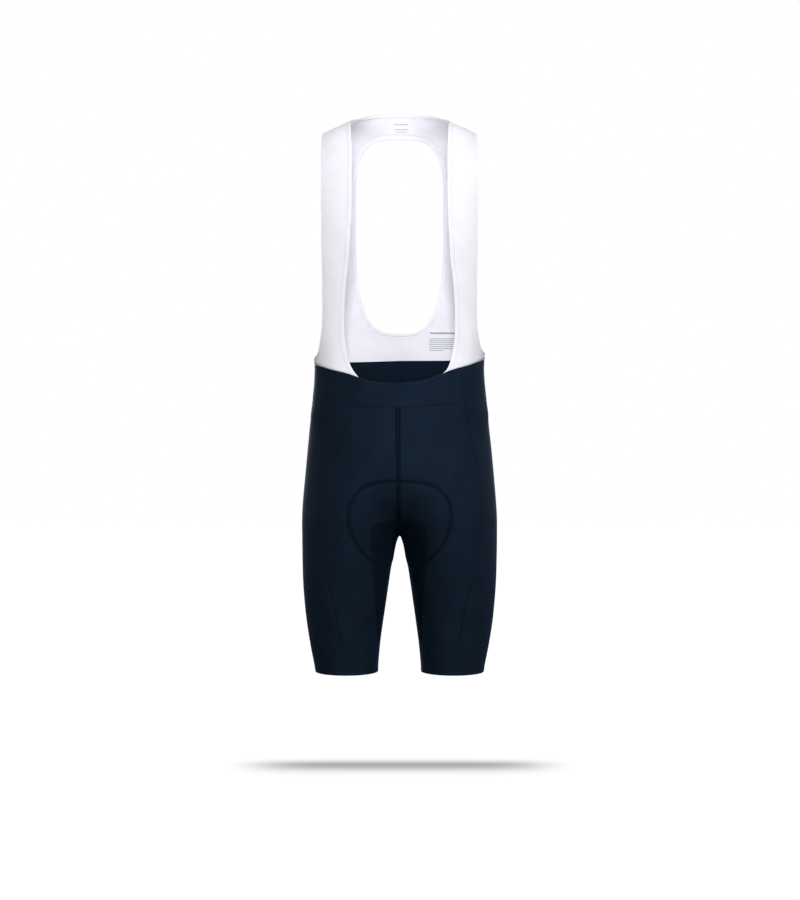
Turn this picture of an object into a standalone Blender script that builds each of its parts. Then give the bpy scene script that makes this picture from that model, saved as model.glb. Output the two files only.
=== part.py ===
"""Cycling bib shorts, filled out as worn and held up at the shoulders.

Every wall follows one smooth body form, given as a table of level sections. Seams are short
lists of places on that form, and each cut piece is a patch stretched between its seams, laid
on the form and thickened inwards. The front faces -Y and the wearer's left is +X. The origin
is midway between the straps, at the height where they cross the shoulders.

Sizes are in millimetres until a mesh is made, and its corners are in metres.
"""

import math

import bmesh
import bpy
import numpy as np

MM = 0.001

# Cloth
KNIT_WALL = 1.2
MESH_WALL = 1.0
SEAM_GAP = 0.3

# Heights of the level seams and edges
CUFF_SEAM = -873.0
HEM_EDGE = -924.0
WAIST_TILT = 4.0

# Chamois pad: it lies inside the crotch, clear of the cloth, and thins towards its edges as
# these powers of the share of the way out
PAD_CLEARANCE = 2.0
PAD_EDGE = 2.5
PAD_MIDDLE = 8.0
PAD_CROWN_ACROSS, PAD_CROWN_ALONG = 3, 6

# Shoulders: the straps arch over a centre this far below the origin
ARCH_CENTRE = -90.0
ARCH_MARGIN = 15.0
SHOULDER_SEAM_ANGLE = 103.0
STRAP_OUTER_EDGE = 130.0

# Angles round the body from its front
STRAP_CORNER_ANGLE = 40.0
SIDE_SEAM_ANGLE = 92.0

# The white cloth reaches this far below the armhole, and behind it a tab of the back begins
ARMHOLE_RISE = 8.0
TAB_TOP = -345.0

# Crotch: a height inside the seat above it, and where the pad's middle line turns under it
CROTCH_SEARCH_HEIGHT = -640.0
CROTCH_TURN = -672.0

# Opening in the back of the bib, a squared oval
OVAL_HALF_WIDTH = 78.0
OVAL_MIDDLE = -128.0
# Its height above or below its middle, and its squareness
OVAL_UP = (122.0, 3.4)
OVAL_DOWN = (218.0, 3.2)

FRONT, BACK = -1, 1
SIDES = (("left", 1), ("right", -1))
MIRROR = (-1, 1, 1)

# Cells along the pieces, and how much narrower the cells beside a seam are
NARROW_CELL = 0.25
FRONT_COLUMNS = 9
SIDE_CELLS = (5, 4)
GUSSET_COLUMNS = 9
BAND_ROWS = 3
CUFF_ROWS, CUFF_COLUMNS = 2, 28
STRAP_ROWS, STRAP_COLUMNS = 28, 6
BIB_RINGS = 5
NAPE_CELLS = 6
TAB_ROWS = 4
WAIST_CELLS = 16
PAD_ROWS, PAD_COLUMNS = 26, 12
GUIDE_POINTS = 7

# Rows of the shorts from the waistband down: cells, and where each run of them ends as a share
# of the centre seam, of the gusset's seams and of the side seams
ROWS = {
    "waist": (4, 0.45, 0.0, 0.14),
    "seat": (6, 1.0, 0.0, 0.30),
    "crotch": (5, 1.0, 0.22, 0.44),
    "leg": (9, 1.0, 1.0, 1.0),
}

# Corners closer than this are one
WELD = 0.001

# Search for the form along a ray: step between the places tried, and how often it is halved.
# Points near the form settle on it in some steps of their own
SEARCH_STEP = 2.0
SEARCH_HALVINGS = 24
SETTLING_STEPS = 12

# The web between the legs is whole this far in front of and behind the crotch, and least in it
WEB_REACH = 65.0
WEB_LEAST = 0.3

# The body form, one leg's half: the other half is its mirror. Above the crotch the two halves
# meet and overlap, so an inner edge below zero is inside the other half.
# height, inner and outer edge in x, front and back in y, squareness, web between the halves
BODY = np.array([
    (-945, 37, 140, -59, 57, 2.0, 0),
    (-924, 36.5, 143, -61, 60, 2.0, 0),
    (-880, 33, 151.5, -67, 66, 2.0, 0),
    (-838, 27.5, 158, -73, 72, 2.0, 2),
    (-804, 22.5, 161.5, -79, 77, 2.0, 6),
    (-770, 17.5, 164, -85, 83, 2.0, 12),
    (-736, 12, 165, -91, 90, 2.0, 19),
    (-694, 2, 165.5, -97, 98, 2.05, 26),
    (-660, -20, 165.5, -102, 108, 2.1, 36),
    (-625, -57, 163.5, -106, 120, 2.15, 40),
    (-585, -98, 160, -108, 127, 2.2, 28),
    (-545, -132, 156, -109, 124, 2.25, 10),
    (-505, -150, 151.5, -108, 113, 2.3, 0),
    (-465, -148.5, 148.5, -106, 99, 2.3, 0),
    (-430, -147, 147, -104, 88, 2.3, 0),
    (-400, -146.5, 146.5, -103, 83, 2.3, 0),
    (-340, -150, 150, -105, 86, 2.3, 0),
    (-270, -157, 157, -111, 95, 2.3, 0),
    (-200, -165, 165, -118, 105, 2.3, 0),
    (-130, -172, 172, -117, 111, 2.3, 0),
    (-85, -172, 172, -109, 108, 2.2, 0),
    (-45, -160, 160, -93, 99, 2.1, 0),
    (-12, -130, 130, -76, 87, 2.0, 0),
    (10, -84, 84, -62, 79, 2.0, 0),
    (36, -66, 66, -50, 72, 2.0, 0),
    (70, -60, 60, -45, 64, 2.0, 0),
], float)

# Waist: angle round from the front, height of the band's top edge, height of its lower seam
WAIST = np.array([
    (0, -440, -480),
    (19, -437.5, -479),
    (30, -433.5, -478),
    (40, -427.5, -477),
    (47, -420.5, -475.5),
    (58, -413.5, -470),
    (69, -407, -465),
    (80, -402, -461),
    (92, -399, -458),
    (125, -395.5, -455),
    (180, -393, -453),
], float)

# Edges and seams: x, height
STRAP_INNER_EDGE = [
    (72, -429), (77, -418), (82, -404), (87, -388), (91, -368), (92, -345), (91, -303),
    (88, -270), (84, -238), (82, -206), (80, -173), (79, -141), (79, -107), (79, -73),
    (80, -37), (82, -9),
]
ARMHOLE_EDGE = [
    (144, -389.5), (141, -387), (137, -382), (133.5, -367), (131, -352), (130, -330),
    (130, -300), (130, -230), (130, -160), (130, -90),
]
SIDE_FRONT_SEAM = [
    (110, -474), (115, -512), (122, -548), (131, -590), (135.5, -625), (136, -665),
    (134, -698), (127, -735), (116, -780), (106, -822), (98, CUFF_SEAM),
]
SIDE_BACK_SEAM = [
    (112, -461), (117, -512), (123, -548), (130, -590), (134, -625), (135, -665),
    (133, -698), (127, -735), (117, -780), (108, -822), (100, CUFF_SEAM),
]

# The inner-leg piece's seams, from the crotch's middle down one leg: x, height
GUSSET_FRONT_SEAM = [
    (0, -665), (15, -665.5), (28, -667), (38, -671), (44, -680), (46, -694), (45, -715),
    (44, -748), (41, -785), (38, -835), (37, CUFF_SEAM),
]
GUSSET_BACK_SEAM = [
    (0, -672), (15, -673), (28, -676), (38, -683), (44, -695), (46, -715), (45, -750),
    (42, -790), (39, -835), (38, CUFF_SEAM),
]

# Neck: the shoulder seam's inner end in x, a strap's edge in front of it, and the nape's edge
NAPE_END = 73.0
STRAP_NECK_PLACE = (84, -12, 8)
NAPE = [(51, 53, 29), (25, 68, 33), (0, 72, 36)]

# Half the chamois pad's outline, from its front tip to its back tip: x, height, side it is on
PAD_OUTLINE = [
    (0, -601, FRONT), (33, -603, FRONT), (60, -612, FRONT), (78, -630, FRONT),
    (85, -656, FRONT), (81, -684, FRONT), (70, -706, FRONT), (54, -726, FRONT),
    (36, -742, FRONT), (14, -754, 0), (38, -742, BACK), (58, -722, BACK), (76, -696, BACK),
    (90, -662, BACK), (93, -628, BACK), (84, -592, BACK), (62, -564, BACK),
    (34, -550, BACK), (0, -546, BACK),
]


# --- The body form -----------------------------------------------------------------------

def smooth_rows(table, places, keys=None):
    """Interpolate a table's rows smoothly, as its columns, at places along its first column.

    Keys, one a row, stand in for the first column where they are given.
    """
    keys = table[:, 0] if keys is None else keys
    slopes = np.gradient(table, keys, axis=0)
    places = np.clip(places, keys[0], keys[-1])
    row = np.clip(np.searchsorted(keys, places) - 1, 0, len(keys) - 2)
    step = (keys[row + 1] - keys[row])[..., None]
    t = (places - keys[row])[..., None] / step
    curve = ((2 * t**3 - 3 * t**2 + 1) * table[row] + (t**3 - 2 * t**2 + t) * slopes[row] * step
             + (3 * t**2 - 2 * t**3) * table[row + 1] + (t**3 - t**2) * slopes[row + 1] * step)
    return np.moveaxis(curve, -1, 0)


def section(z):
    """Interpolate the body's sections at the heights z, one value or array a column."""
    return smooth_rows(BODY, np.asarray(z, float))


def half(x, y, inner, outer, front, back, squareness):
    """Signed measure, below zero inside, of one half of the body."""
    reach_x, reach_y = (outer - inner) / 2, (back - front) / 2
    across = np.abs(x - (inner + outer) / 2) / reach_x
    along = np.abs(y - (front + back) / 2) / reach_y
    size = (across**squareness + along**squareness) ** (1 / squareness)
    return (size - 1) * np.minimum(reach_x, reach_y)


def body(points):
    """Signed measure, below zero inside, of the whole body: both halves and their web."""
    x, y, z = points[..., 0], points[..., 1], points[..., 2]
    _, inner, outer, front, back, squareness, web = section(z)
    web = np.maximum(web * np.clip(np.abs(y) / WEB_REACH, WEB_LEAST, 1), 0.001)
    one = half(x, y, inner, outer, front, back, squareness)
    other = half(-x, y, inner, outer, front, back, squareness)
    blend = np.maximum(web - np.abs(one - other), 0) / web
    return np.minimum(one, other) - blend**2 * web / 4


def steepest(points, step=0.05):
    """Gradient of the body's measure: it points out of the form."""
    shifts = np.eye(3) * step
    return np.stack([(body(points + s) - body(points - s)) / (2 * step) for s in shifts], -1)


def onto_form(points, depth=0.0):
    """Move points onto the form, or onto the surface that lies at a depth inside it."""
    points = np.array(points, float)
    for _ in range(SETTLING_STEPS):
        slope = steepest(points)
        steepness = np.maximum((slope**2).sum(-1, keepdims=True), 1e-6)
        points = points - body(points)[..., None] * slope / steepness
    return points - depth * outward(points)


def outward(points):
    """Unit normals of the form."""
    slope = steepest(points)
    return slope / np.linalg.norm(slope, axis=-1, keepdims=True)


def leave(start, direction, reach=260.0):
    """Follow a ray out of the body from an inside point to the last place on its surface."""
    start, direction = np.array(start, float), np.array(direction, float)
    steps = np.arange(0, reach, SEARCH_STEP)
    inside = np.nonzero(body(start + steps[:, None] * direction) <= 0)[0]
    near = steps[inside[-1]]
    far = near + SEARCH_STEP
    for _ in range(SEARCH_HALVINGS):
        middle = (near + far) / 2
        if body((start + middle * direction)[None])[0] <= 0:
            near = middle
        else:
            far = middle
    return start + near * direction


def on_form(x, z, facing):
    """Place on the form's front or back at x and a height."""
    return leave((x, 0, z), (0, facing, 0))


def around_waist(angle, z):
    """Place on the form at an angle round from the front, towards +X, and a height."""
    _, _, _, front, back, _, _ = section(np.array(float(z)))
    turn = math.radians(angle)
    return leave((0, (front + back) / 2, z), (math.sin(turn), -math.cos(turn), 0))


def over_shoulder(x, angle):
    """Place on the shoulder at x, at an angle up from level, front to back."""
    turn = math.radians(angle)
    return leave((x, 0, ARCH_CENTRE), (0, -math.cos(turn), math.sin(turn)))


# --- Lines and patches -------------------------------------------------------------------


def paces(cells):
    """Shares from 0 to 1 of a run of cells, the ones at its ends narrow."""
    steps = np.ones(cells)
    steps[[0, -1]] = NARROW_CELL
    return np.r_[0, np.cumsum(steps)] / steps.sum()


def smooth_line(places, shares):
    """Lay a smooth curve through places on the form, with points at shares of its length."""
    places = np.array(places, float)
    travel = lengths_along(places)
    curve = smooth_rows(places, np.linspace(0, travel[-1], 40 * len(places)), travel).T
    length = lengths_along(curve)
    return onto_form(np.stack([np.interp(shares * length[-1], length, axis) for axis in curve.T], -1))


def lengths_along(points):
    """Length travelled along a run of points at each of them."""
    return np.r_[0, np.cumsum(np.linalg.norm(np.diff(points, axis=0), axis=1))]


def waist_height(angle, edge):
    """Height of the waistband's top edge (1) or lower seam (2) at an angle round."""
    turn = abs((angle + 180) % 360 - 180)
    tilt = WAIST_TILT * math.sin(math.radians(angle))
    return float(smooth_rows(WAIST, np.array(turn))[edge]) + tilt


def angle_of(place):
    """Angle of a place round from the front, as around_waist measures it."""
    _, _, _, front, back, _, _ = section(np.array(float(place[2])))
    return math.degrees(math.atan2(abs(place[0]), (front + back) / 2 - place[1]))


def patch(top, bottom, first, last):
    """Stretch a patch between four lines: top and bottom run from first to last."""
    down = (lengths_along(first) / lengths_along(first)[-1])[:, None, None]
    across = (lengths_along(top) / lengths_along(top)[-1])[None, :, None]
    ruled_down = (1 - down) * top[None] + down * bottom[None]
    ruled_across = (1 - across) * first[:, None] + across * last[:, None]
    corners = ((1 - down) * ((1 - across) * top[0] + across * top[-1])
               + down * ((1 - across) * bottom[0] + across * bottom[-1]))
    grid = onto_form(ruled_down + ruled_across - corners)
    grid[0], grid[-1], grid[:, 0], grid[:, -1] = top, bottom, first, last
    return grid


# --- Blender objects ---------------------------------------------------------------------


def clear_scene():
    """Remove whatever the scene holds."""
    for thing in list(bpy.data.objects):
        bpy.data.objects.remove(thing)


def make_material(name, colour, roughness):
    """Plain cloth material."""
    material = bpy.data.materials.new(name)
    material.use_nodes = True
    shader = material.node_tree.nodes["Principled BSDF"]
    shader.inputs["Base Color"].default_value = (*colour, 1)
    shader.inputs["Roughness"].default_value = roughness
    shader.inputs["Metallic"].default_value = 0
    material.diffuse_color = (*colour, 1)
    return material


def skin(shell, grid):
    """Add a grid of points to an open shell, its faces' outer side out.

    Each cell is cut in two along the diagonal that lies closer to the form.
    """
    corners = [[shell.verts.new(point * MM) for point in row] for row in grid]
    falling, rising = (grid[:-1, :-1] + grid[1:, 1:]) / 2, (grid[:-1, 1:] + grid[1:, :-1]) / 2
    cut_falling = np.abs(body(falling)) < np.abs(body(rising))
    across, down = grid[0, 1] - grid[0, 0], grid[1, 0] - grid[0, 0]
    turned = np.dot(np.cross(across, down), outward(grid[0, 0])) < 0
    for (row, column), falls in np.ndenumerate(cut_falling):
        ring = [corners[row][column], corners[row][column + 1],
                corners[row + 1][column + 1], corners[row + 1][column]]
        start = 0 if falls else 1
        ring = ring[start:] + ring[:start]
        for face in ((ring[0], ring[1], ring[2]), (ring[0], ring[2], ring[3])):
            shell.faces.new(face[::-1] if turned else face)


def draw_in(shell):
    """Draw an open shell's edges in by half the seam gap."""
    ways = {}
    for edge in (edge for edge in shell.edges if edge.is_boundary):
        along = (edge.verts[1].co - edge.verts[0].co).normalized()
        inwards = edge.link_faces[0].calc_center_median() - edge.verts[0].co
        inwards = (inwards - inwards.dot(along) * along).normalized()
        for corner in edge.verts:
            ways.setdefault(corner, []).append(inwards)
    for corner, pair in ways.items():
        way = (pair[0] + pair[1]).normalized()
        corner.co += way * (SEAM_GAP / 2 * MM / way.dot(pair[0]))


def make_cloth(name, grids, wall, material):
    """Join grids of points into one open shell, draw its edges in and thicken it inwards."""
    shell = bmesh.new()
    for grid in grids:
        skin(shell, grid)
    bmesh.ops.remove_doubles(shell, verts=shell.verts, dist=WELD * MM)
    draw_in(shell)
    mesh = bpy.data.meshes.new(name)
    shell.to_mesh(mesh)
    shell.free()
    mesh.materials.append(material)
    mesh.shade_smooth()
    piece = bpy.data.objects.new(name, mesh)
    PARTS.objects.link(piece)
    thicken = piece.modifiers.new("Wall", "SOLIDIFY")
    thicken.thickness = wall * MM
    thicken.offset = -1
    return piece


# --- Seams -------------------------------------------------------------------------------


def row_shares(column, names):
    """Shares of a seam at which the rows in the named runs meet it."""
    ends = [0.0] + [ROWS[name][column] for name in names]
    return stops(*((start, end, ROWS[name][0]) for name, start, end in zip(names, ends, ends[1:])))


def stops(*spans):
    """Values along spans given as start, end and number of cells, each span's end shared."""
    runs = [start + (end - start) * paces(cells) for start, end, cells in spans]
    return np.concatenate([runs[0]] + [run[1:] for run in runs[1:]])


def waist_points(angles, edge, side=1):
    """Places on a waistband edge, worked out on the +X side for either side of the body."""
    return np.array([around_waist(a, waist_height(side * a, edge)) for a in angles])


def leg_centre(z):
    """Middle of one leg's section at a height."""
    _, inner, outer, front, back, _, _ = section(np.array(float(z)))
    return np.array([(inner + outer) / 2, (front + back) / 2, z])


def around_leg(angle, z):
    """Place on one leg at an angle round from its front, towards its outer side."""
    turn = math.radians(angle)
    return leave(leg_centre(z), (math.sin(turn), -math.cos(turn), 0), reach=90.0)


def cuff_points(start, end, cells):
    """Places on the level cuff seam, the short way round the leg between two of them."""
    middle = leg_centre(CUFF_SEAM)
    first, last = (math.degrees(math.atan2(place[0] - middle[0], middle[1] - place[1]))
                   for place in (start, end))
    way = (last - first + 180) % 360 - 180
    return np.array([around_leg(first + way * share, CUFF_SEAM) for share in paces(cells)])


def centre_seam(angle, end, facing):
    """Centre seam of the shorts, from the waistband down to the gusset."""
    start = waist_height(angle, 2)
    shares = row_shares(1, ("waist", "seat"))
    return np.array([on_form(0, start + (end - start) * share, facing) for share in shares])


def gusset_seam(table, facing):
    """Front or back seam of the gusset, from the crotch's middle down one leg."""
    shares = row_shares(2, ("crotch", "leg"))
    return smooth_line([on_form(x, z, facing) for x, z in table], shares)


def side_seam(table, facing, side):
    """Front or back seam of a side piece, from the waistband down to the cuff."""
    angle = angle_of(on_form(*table[0], facing))
    start = waist_points([angle], 2, side)[0]
    shares = row_shares(3, tuple(ROWS))
    return smooth_line([start] + [on_form(x, z, facing) for x, z in table[1:]], shares)


def strap_inner_line(side):
    """Inner edge of a strap, from the shoulder seam down to the waistband."""
    shoulder = [over_shoulder(NAPE_END, SHOULDER_SEAM_ANGLE), STRAP_NECK_PLACE]
    edge = [on_form(x, z, FRONT) for x, z in STRAP_INNER_EDGE[::-1]]
    edge[-1] = waist_points([STRAP_CORNER_ANGLE], 1, side)[0]
    return smooth_line(shoulder + edge, paces(STRAP_ROWS))


def armhole_line(facing, side):
    """Armhole's front or back edge, from the shoulder seam down to the side seam's foot."""
    level = ARCH_MARGIN if facing == FRONT else 180 - ARCH_MARGIN
    angles = np.linspace(SHOULDER_SEAM_ANGLE, level, GUIDE_POINTS)
    arch = [over_shoulder(STRAP_OUTER_EDGE, a) for a in angles]
    foot = waist_points([SIDE_SEAM_ANGLE], 1, side)[0]
    lowest = around_waist(SIDE_SEAM_ANGLE, foot[2] + ARMHOLE_RISE)
    x, z = np.array(ARMHOLE_EDGE[::-1], float).T
    z += side * WAIST_TILT * np.clip((z - TAB_TOP) / (ARMHOLE_EDGE[0][1] - TAB_TOP), 0, 1)
    down = [on_form(*place, facing) for place in zip(x, z)]
    return np.concatenate([smooth_line(arch + down + [lowest], paces(STRAP_ROWS - 1)), [foot]])


def shoulder_line():
    """Shoulder seam, from the neck out to the armhole."""
    across = NAPE_END + (STRAP_OUTER_EDGE - NAPE_END) * paces(STRAP_COLUMNS)
    return np.array([over_shoulder(x, SHOULDER_SEAM_ANGLE) for x in across])


def oval_point(place):
    """Point of the back's oval opening that lies towards a place from the oval's middle."""
    turn = math.atan2(place[2] - OVAL_MIDDLE, place[0])
    tall, squareness = OVAL_UP if turn > 0 else OVAL_DOWN
    across = abs(math.cos(turn)) / OVAL_HALF_WIDTH
    up = abs(math.sin(turn)) / tall
    reach = (across**squareness + up**squareness) ** (-1 / squareness)
    return on_form(reach * math.cos(turn), OVAL_MIDDLE + reach * math.sin(turn), BACK)


# --- Pieces ------------------------------------------------------------------------------


def make_shorts(navy):
    """Fronts, sides, backs and the gusset that joins both legs."""
    gusset_front = gusset_seam(GUSSET_FRONT_SEAM, FRONT)
    gusset_back = gusset_seam(GUSSET_BACK_SEAM, BACK)
    front_inner = np.concatenate([centre_seam(0, gusset_front[0][2], FRONT), gusset_front[1:]])
    back_inner = np.concatenate([centre_seam(180, gusset_back[0][2], BACK), gusset_back[1:]])
    front_angle, back_angle = side_seam_angles()
    spans = {
        "front": stops((0, front_angle, FRONT_COLUMNS)),
        "side": stops((front_angle, SIDE_SEAM_ANGLE, SIDE_CELLS[0]),
                      (SIDE_SEAM_ANGLE, back_angle, SIDE_CELLS[1])),
        "back": stops((180, back_angle, FRONT_COLUMNS)),
    }
    for name, side in SIDES:
        front_outer = side_seam(SIDE_FRONT_SEAM, FRONT, side)
        back_outer = side_seam(SIDE_BACK_SEAM, BACK, side)
        edges = {"front": (front_inner, front_outer), "side": (front_outer, back_outer),
                 "back": (back_inner, back_outer)}
        for kind, (first, last) in edges.items():
            top = waist_points(spans[kind], 2, side)
            bottom = cuff_points(first[-1], last[-1], len(top) - 1)
            grid = patch(top, bottom, first, last) * (side, 1, 1)
            make_cloth(f"{kind}_{name}", [grid], KNIT_WALL, navy)
    one_leg = gusset_leg(gusset_front, gusset_back)
    make_cloth("gusset", [one_leg, one_leg * MIRROR], KNIT_WALL, navy)


def side_seam_angles():
    """Angles round the waist at which the side pieces' front and back seams start."""
    return angle_of(on_form(*SIDE_FRONT_SEAM[0], FRONT)), angle_of(on_form(*SIDE_BACK_SEAM[0], BACK))


def crotch_middle():
    """Lowest place on the form between the legs."""
    return leave((0, 0, CROTCH_SEARCH_HEIGHT), (0, 0, -1), reach=90.0)


def gusset_leg(front, back):
    """One leg's half of the gusset: rows from the crotch down to the cuff, front to back."""
    crotch = crotch_middle()
    heights = crotch[2] + (CUFF_SEAM - crotch[2]) * row_shares(2, ("crotch", "leg"))
    _, inner, _, fore, aft, _, _ = section(heights)
    middle = onto_form(np.stack([inner, (fore + aft) / 2, heights], -1))
    middle[0] = crotch
    pull = (2 * middle - (front + back) / 2)[:, None]
    share = paces(GUSSET_COLUMNS)[None, :, None]
    one_leg = onto_form((1 - share) ** 2 * front[:, None] + 2 * share * (1 - share) * pull
                        + share**2 * back[:, None])
    one_leg[:, 0], one_leg[:, -1] = front, back
    one_leg[-1] = cuff_points(front[-1], back[-1], GUSSET_COLUMNS)
    return one_leg


def make_grippers(navy):
    """Gripper band at the end of each leg."""
    heights = np.linspace(CUFF_SEAM, HEM_EDGE, CUFF_ROWS + 1)
    angles = np.linspace(0, 360, CUFF_COLUMNS + 1)
    ring = np.array([[around_leg(a, z) for a in angles] for z in heights])
    for name, side in SIDES:
        make_cloth(f"gripper_{name}", [ring * (side, 1, 1)], KNIT_WALL, navy)


def make_waistband(navy):
    """Front and back of the waistband, whose corners meet those of the pieces round them."""
    front_angle, back_angle = side_seam_angles()
    below = stops((0, front_angle, FRONT_COLUMNS), (front_angle, SIDE_SEAM_ANGLE, SIDE_CELLS[0]))
    above = stops((0, STRAP_CORNER_ANGLE, len(below) - 1 - STRAP_COLUMNS),
                  (STRAP_CORNER_ANGLE, SIDE_SEAM_ANGLE, STRAP_COLUMNS))
    above, below = (np.r_[-run[:0:-1], run] for run in (above, below))
    make_band("waistband_front", above, below, navy)
    below = stops((SIDE_SEAM_ANGLE, back_angle, SIDE_CELLS[1]), (back_angle, 180, FRONT_COLUMNS))
    above = stops((SIDE_SEAM_ANGLE, 180, len(below) - 1))
    above, below = (np.r_[run, 360 - run[-2::-1]] for run in (above, below))
    make_band("waistband_back", above, below, navy)


def make_band(name, above, below, navy):
    """Strip of waistband between the angles along its top edge and along its lower seam."""
    top, bottom = waist_points(above, 1), waist_points(below, 2)
    share = np.linspace(0, 1, BAND_ROWS + 1)[:, None, None]
    make_cloth(name, [onto_form((1 - share) * top + share * bottom)], KNIT_WALL, navy)


def make_straps(white):
    """Front of the bib: a strap on each side, widening under the armhole."""
    for name, side in SIDES:
        inner, outer = strap_inner_line(side), armhole_line(FRONT, side)
        bottom = waist_points(stops((STRAP_CORNER_ANGLE, SIDE_SEAM_ANGLE, STRAP_COLUMNS)), 1, side)
        grid = patch(shoulder_line(), bottom, inner, outer) * (side, 1, 1)
        make_cloth(f"strap_{name}", [grid], MESH_WALL, white)


def make_bib_back(white):
    """Back of the bib: rings from its oval opening outwards, and a tab under each armhole."""
    nape = smooth_line([over_shoulder(NAPE_END, SHOULDER_SEAM_ANGLE)] + NAPE, paces(NAPE_CELLS))
    shoulder = shoulder_line()
    outline, tabs = [], []
    for _, side in SIDES:
        armhole = armhole_line(BACK, side)
        root = int(np.nonzero(armhole[:, 2] < TAB_TOP)[0][0])
        tab = side_tab(armhole[root:], side)
        down = [nape[::-1], shoulder[1:], armhole[1:root + 1], tab[1:, 0]]
        outline.append(np.concatenate(down) * (side, 1, 1))
        tabs.append(tab * (side, 1, 1))
    left, right = outline
    ends = [angle_of(left[-1]), 360 - angle_of(right[-1])]
    waist = waist_points(stops((ends[1], ends[0], WAIST_CELLS)), 1)
    outline = np.concatenate([left[::-1], right[1:-1], waist])
    oval = np.array([oval_point(place) for place in outline])
    share = paces(BIB_RINGS)[:, None, None]
    rings = onto_form((1 - share) * oval + share * outline)
    rings[-1] = outline
    make_cloth("upper_back", [rings] + tabs, MESH_WALL, white)


def side_tab(armhole, side):
    """Part of the bib's back that runs forward under the armhole to the side seam."""
    angle = angle_of(armhole[0])
    bottom = waist_points(stops((angle, SIDE_SEAM_ANGLE, len(armhole) - 2)), 1, side)
    heights = armhole[0][2] + (bottom[0][2] - armhole[0][2]) * paces(TAB_ROWS)
    first = np.array([around_waist(angle, z) for z in heights])
    share = paces(TAB_ROWS)[:, None]
    last = onto_form((1 - share) * armhole[-2] + share * armhole[-1])
    return patch(armhole[:-1], bottom, first, last)


def make_pad(blue):
    """Chamois pad inside the crotch, thick in its middle and thin at its edges."""
    edge = [on_form(x, z, side) if side else (x, 0, z) for x, z, side in PAD_OUTLINE]
    side_line = smooth_line(edge[1:-1], paces(PAD_ROWS))
    down, up = (np.linspace(PAD_OUTLINE[tip][1], CROTCH_TURN, GUIDE_POINTS) for tip in (0, -1))
    spine = [on_form(0, z, FRONT) for z in down] + [crotch_middle()]
    spine = smooth_line(spine + [on_form(0, z, BACK) for z in up[::-1]], paces(PAD_ROWS))
    pull = (2 * spine - (side_line + side_line * MIRROR) / 2)[:, None]
    share = paces(PAD_COLUMNS)[None, :, None]
    grid = ((1 - share) ** 2 * side_line[:, None] + 2 * share * (1 - share) * pull
            + share**2 * side_line[:, None] * MIRROR)
    grid = onto_form(grid, KNIT_WALL + PAD_CLEARANCE)
    pad = make_cloth("chamois_pad", [grid], PAD_MIDDLE, blue)
    across = 1 - np.abs(2 * share[0, :, 0] - 1) ** PAD_CROWN_ACROSS
    along = 1 - np.abs(2 * paces(PAD_ROWS) - 1) ** PAD_CROWN_ALONG
    least = PAD_EDGE / PAD_MIDDLE
    thickness = pad.vertex_groups.new(name="thickness")
    for corner, weight in enumerate((least + (1 - least) * np.outer(along, across)).ravel()):
        thickness.add([corner], float(weight), "REPLACE")
    pad.modifiers["Wall"].vertex_group = thickness.name


def main():
    """Build every piece."""
    clear_scene()
    bpy.context.scene.collection.children.link(PARTS)
    navy = make_material("navy_knit", (0.012, 0.021, 0.042), 0.62)
    white = make_material("white_mesh", (0.84, 0.84, 0.88), 0.7)
    pad = make_material("pad_microfibre", (0.03, 0.05, 0.09), 0.85)
    make_shorts(navy)
    make_grippers(navy)
    make_waistband(navy)
    make_straps(white)
    make_bib_back(white)
    make_pad(pad)


PARTS = bpy.data.collections.new("cycling_bib_shorts")

if __name__ == "__main__":
    main()
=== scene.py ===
"""Looks of a pair of cycling bib shorts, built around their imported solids.

Each cut piece is a fine shell of knit laid on the body form that its solid follows, with hems
turned under, seams sunk and stitched, and soft creases where the cloth is pulled. Sizes are in
millimetres until a mesh is made. The front faces -Y and the wearer's left is +X.
"""

from __future__ import annotations

import logging
import math
from dataclasses import dataclass, field, replace
from enum import Enum

import bmesh
import bpy
import numpy as np
from bpy.types import ID, Material, Node, NodeSocket, NodeTree, Object
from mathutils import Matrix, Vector


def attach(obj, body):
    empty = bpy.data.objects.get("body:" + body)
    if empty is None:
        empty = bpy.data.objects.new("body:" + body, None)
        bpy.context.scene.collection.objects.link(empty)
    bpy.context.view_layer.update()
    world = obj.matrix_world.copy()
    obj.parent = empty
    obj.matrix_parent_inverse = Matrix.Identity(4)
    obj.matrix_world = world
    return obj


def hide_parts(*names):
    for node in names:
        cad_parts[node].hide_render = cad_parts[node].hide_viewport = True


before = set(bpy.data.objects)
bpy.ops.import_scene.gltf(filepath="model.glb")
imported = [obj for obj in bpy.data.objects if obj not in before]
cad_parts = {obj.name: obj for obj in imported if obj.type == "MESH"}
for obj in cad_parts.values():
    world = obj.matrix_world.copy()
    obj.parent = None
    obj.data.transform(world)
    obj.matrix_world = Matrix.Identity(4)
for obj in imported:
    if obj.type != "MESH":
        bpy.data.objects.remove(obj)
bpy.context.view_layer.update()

Array = np.ndarray

LOG = logging.getLogger("bib_shorts")
MM = 0.001
ROOT = "root"
FRONT, BACK = -1, 1
SIDES = (("left", 1), ("right", -1))
MIRROR = np.array((-1.0, 1.0, 1.0))


# --- The cut: sizes and seams shared with the solids

# Heights of the level seams and edges
CUFF_SEAM = -873.0
HEM_EDGE = -924.0

# The waist rises to the wearer's left, less so behind: how far, the share of it that is left at
# the back, and the angle from which it is down to that
WAIST_TILT = 4.0
BACK_TILT_SHARE = 0.45
BACK_TILT_ANGLE = 140.0

# Shoulders: the straps arch over a centre this far below the origin, down to this angle above
# level; places along the arch
ARCH_CENTRE = -90.0
ARCH_MARGIN = 15.0
ARCH_PLACES = 7
SHOULDER_SEAM_ANGLE = 103.0
STRAP_OUTER_EDGE = 130.0

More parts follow.
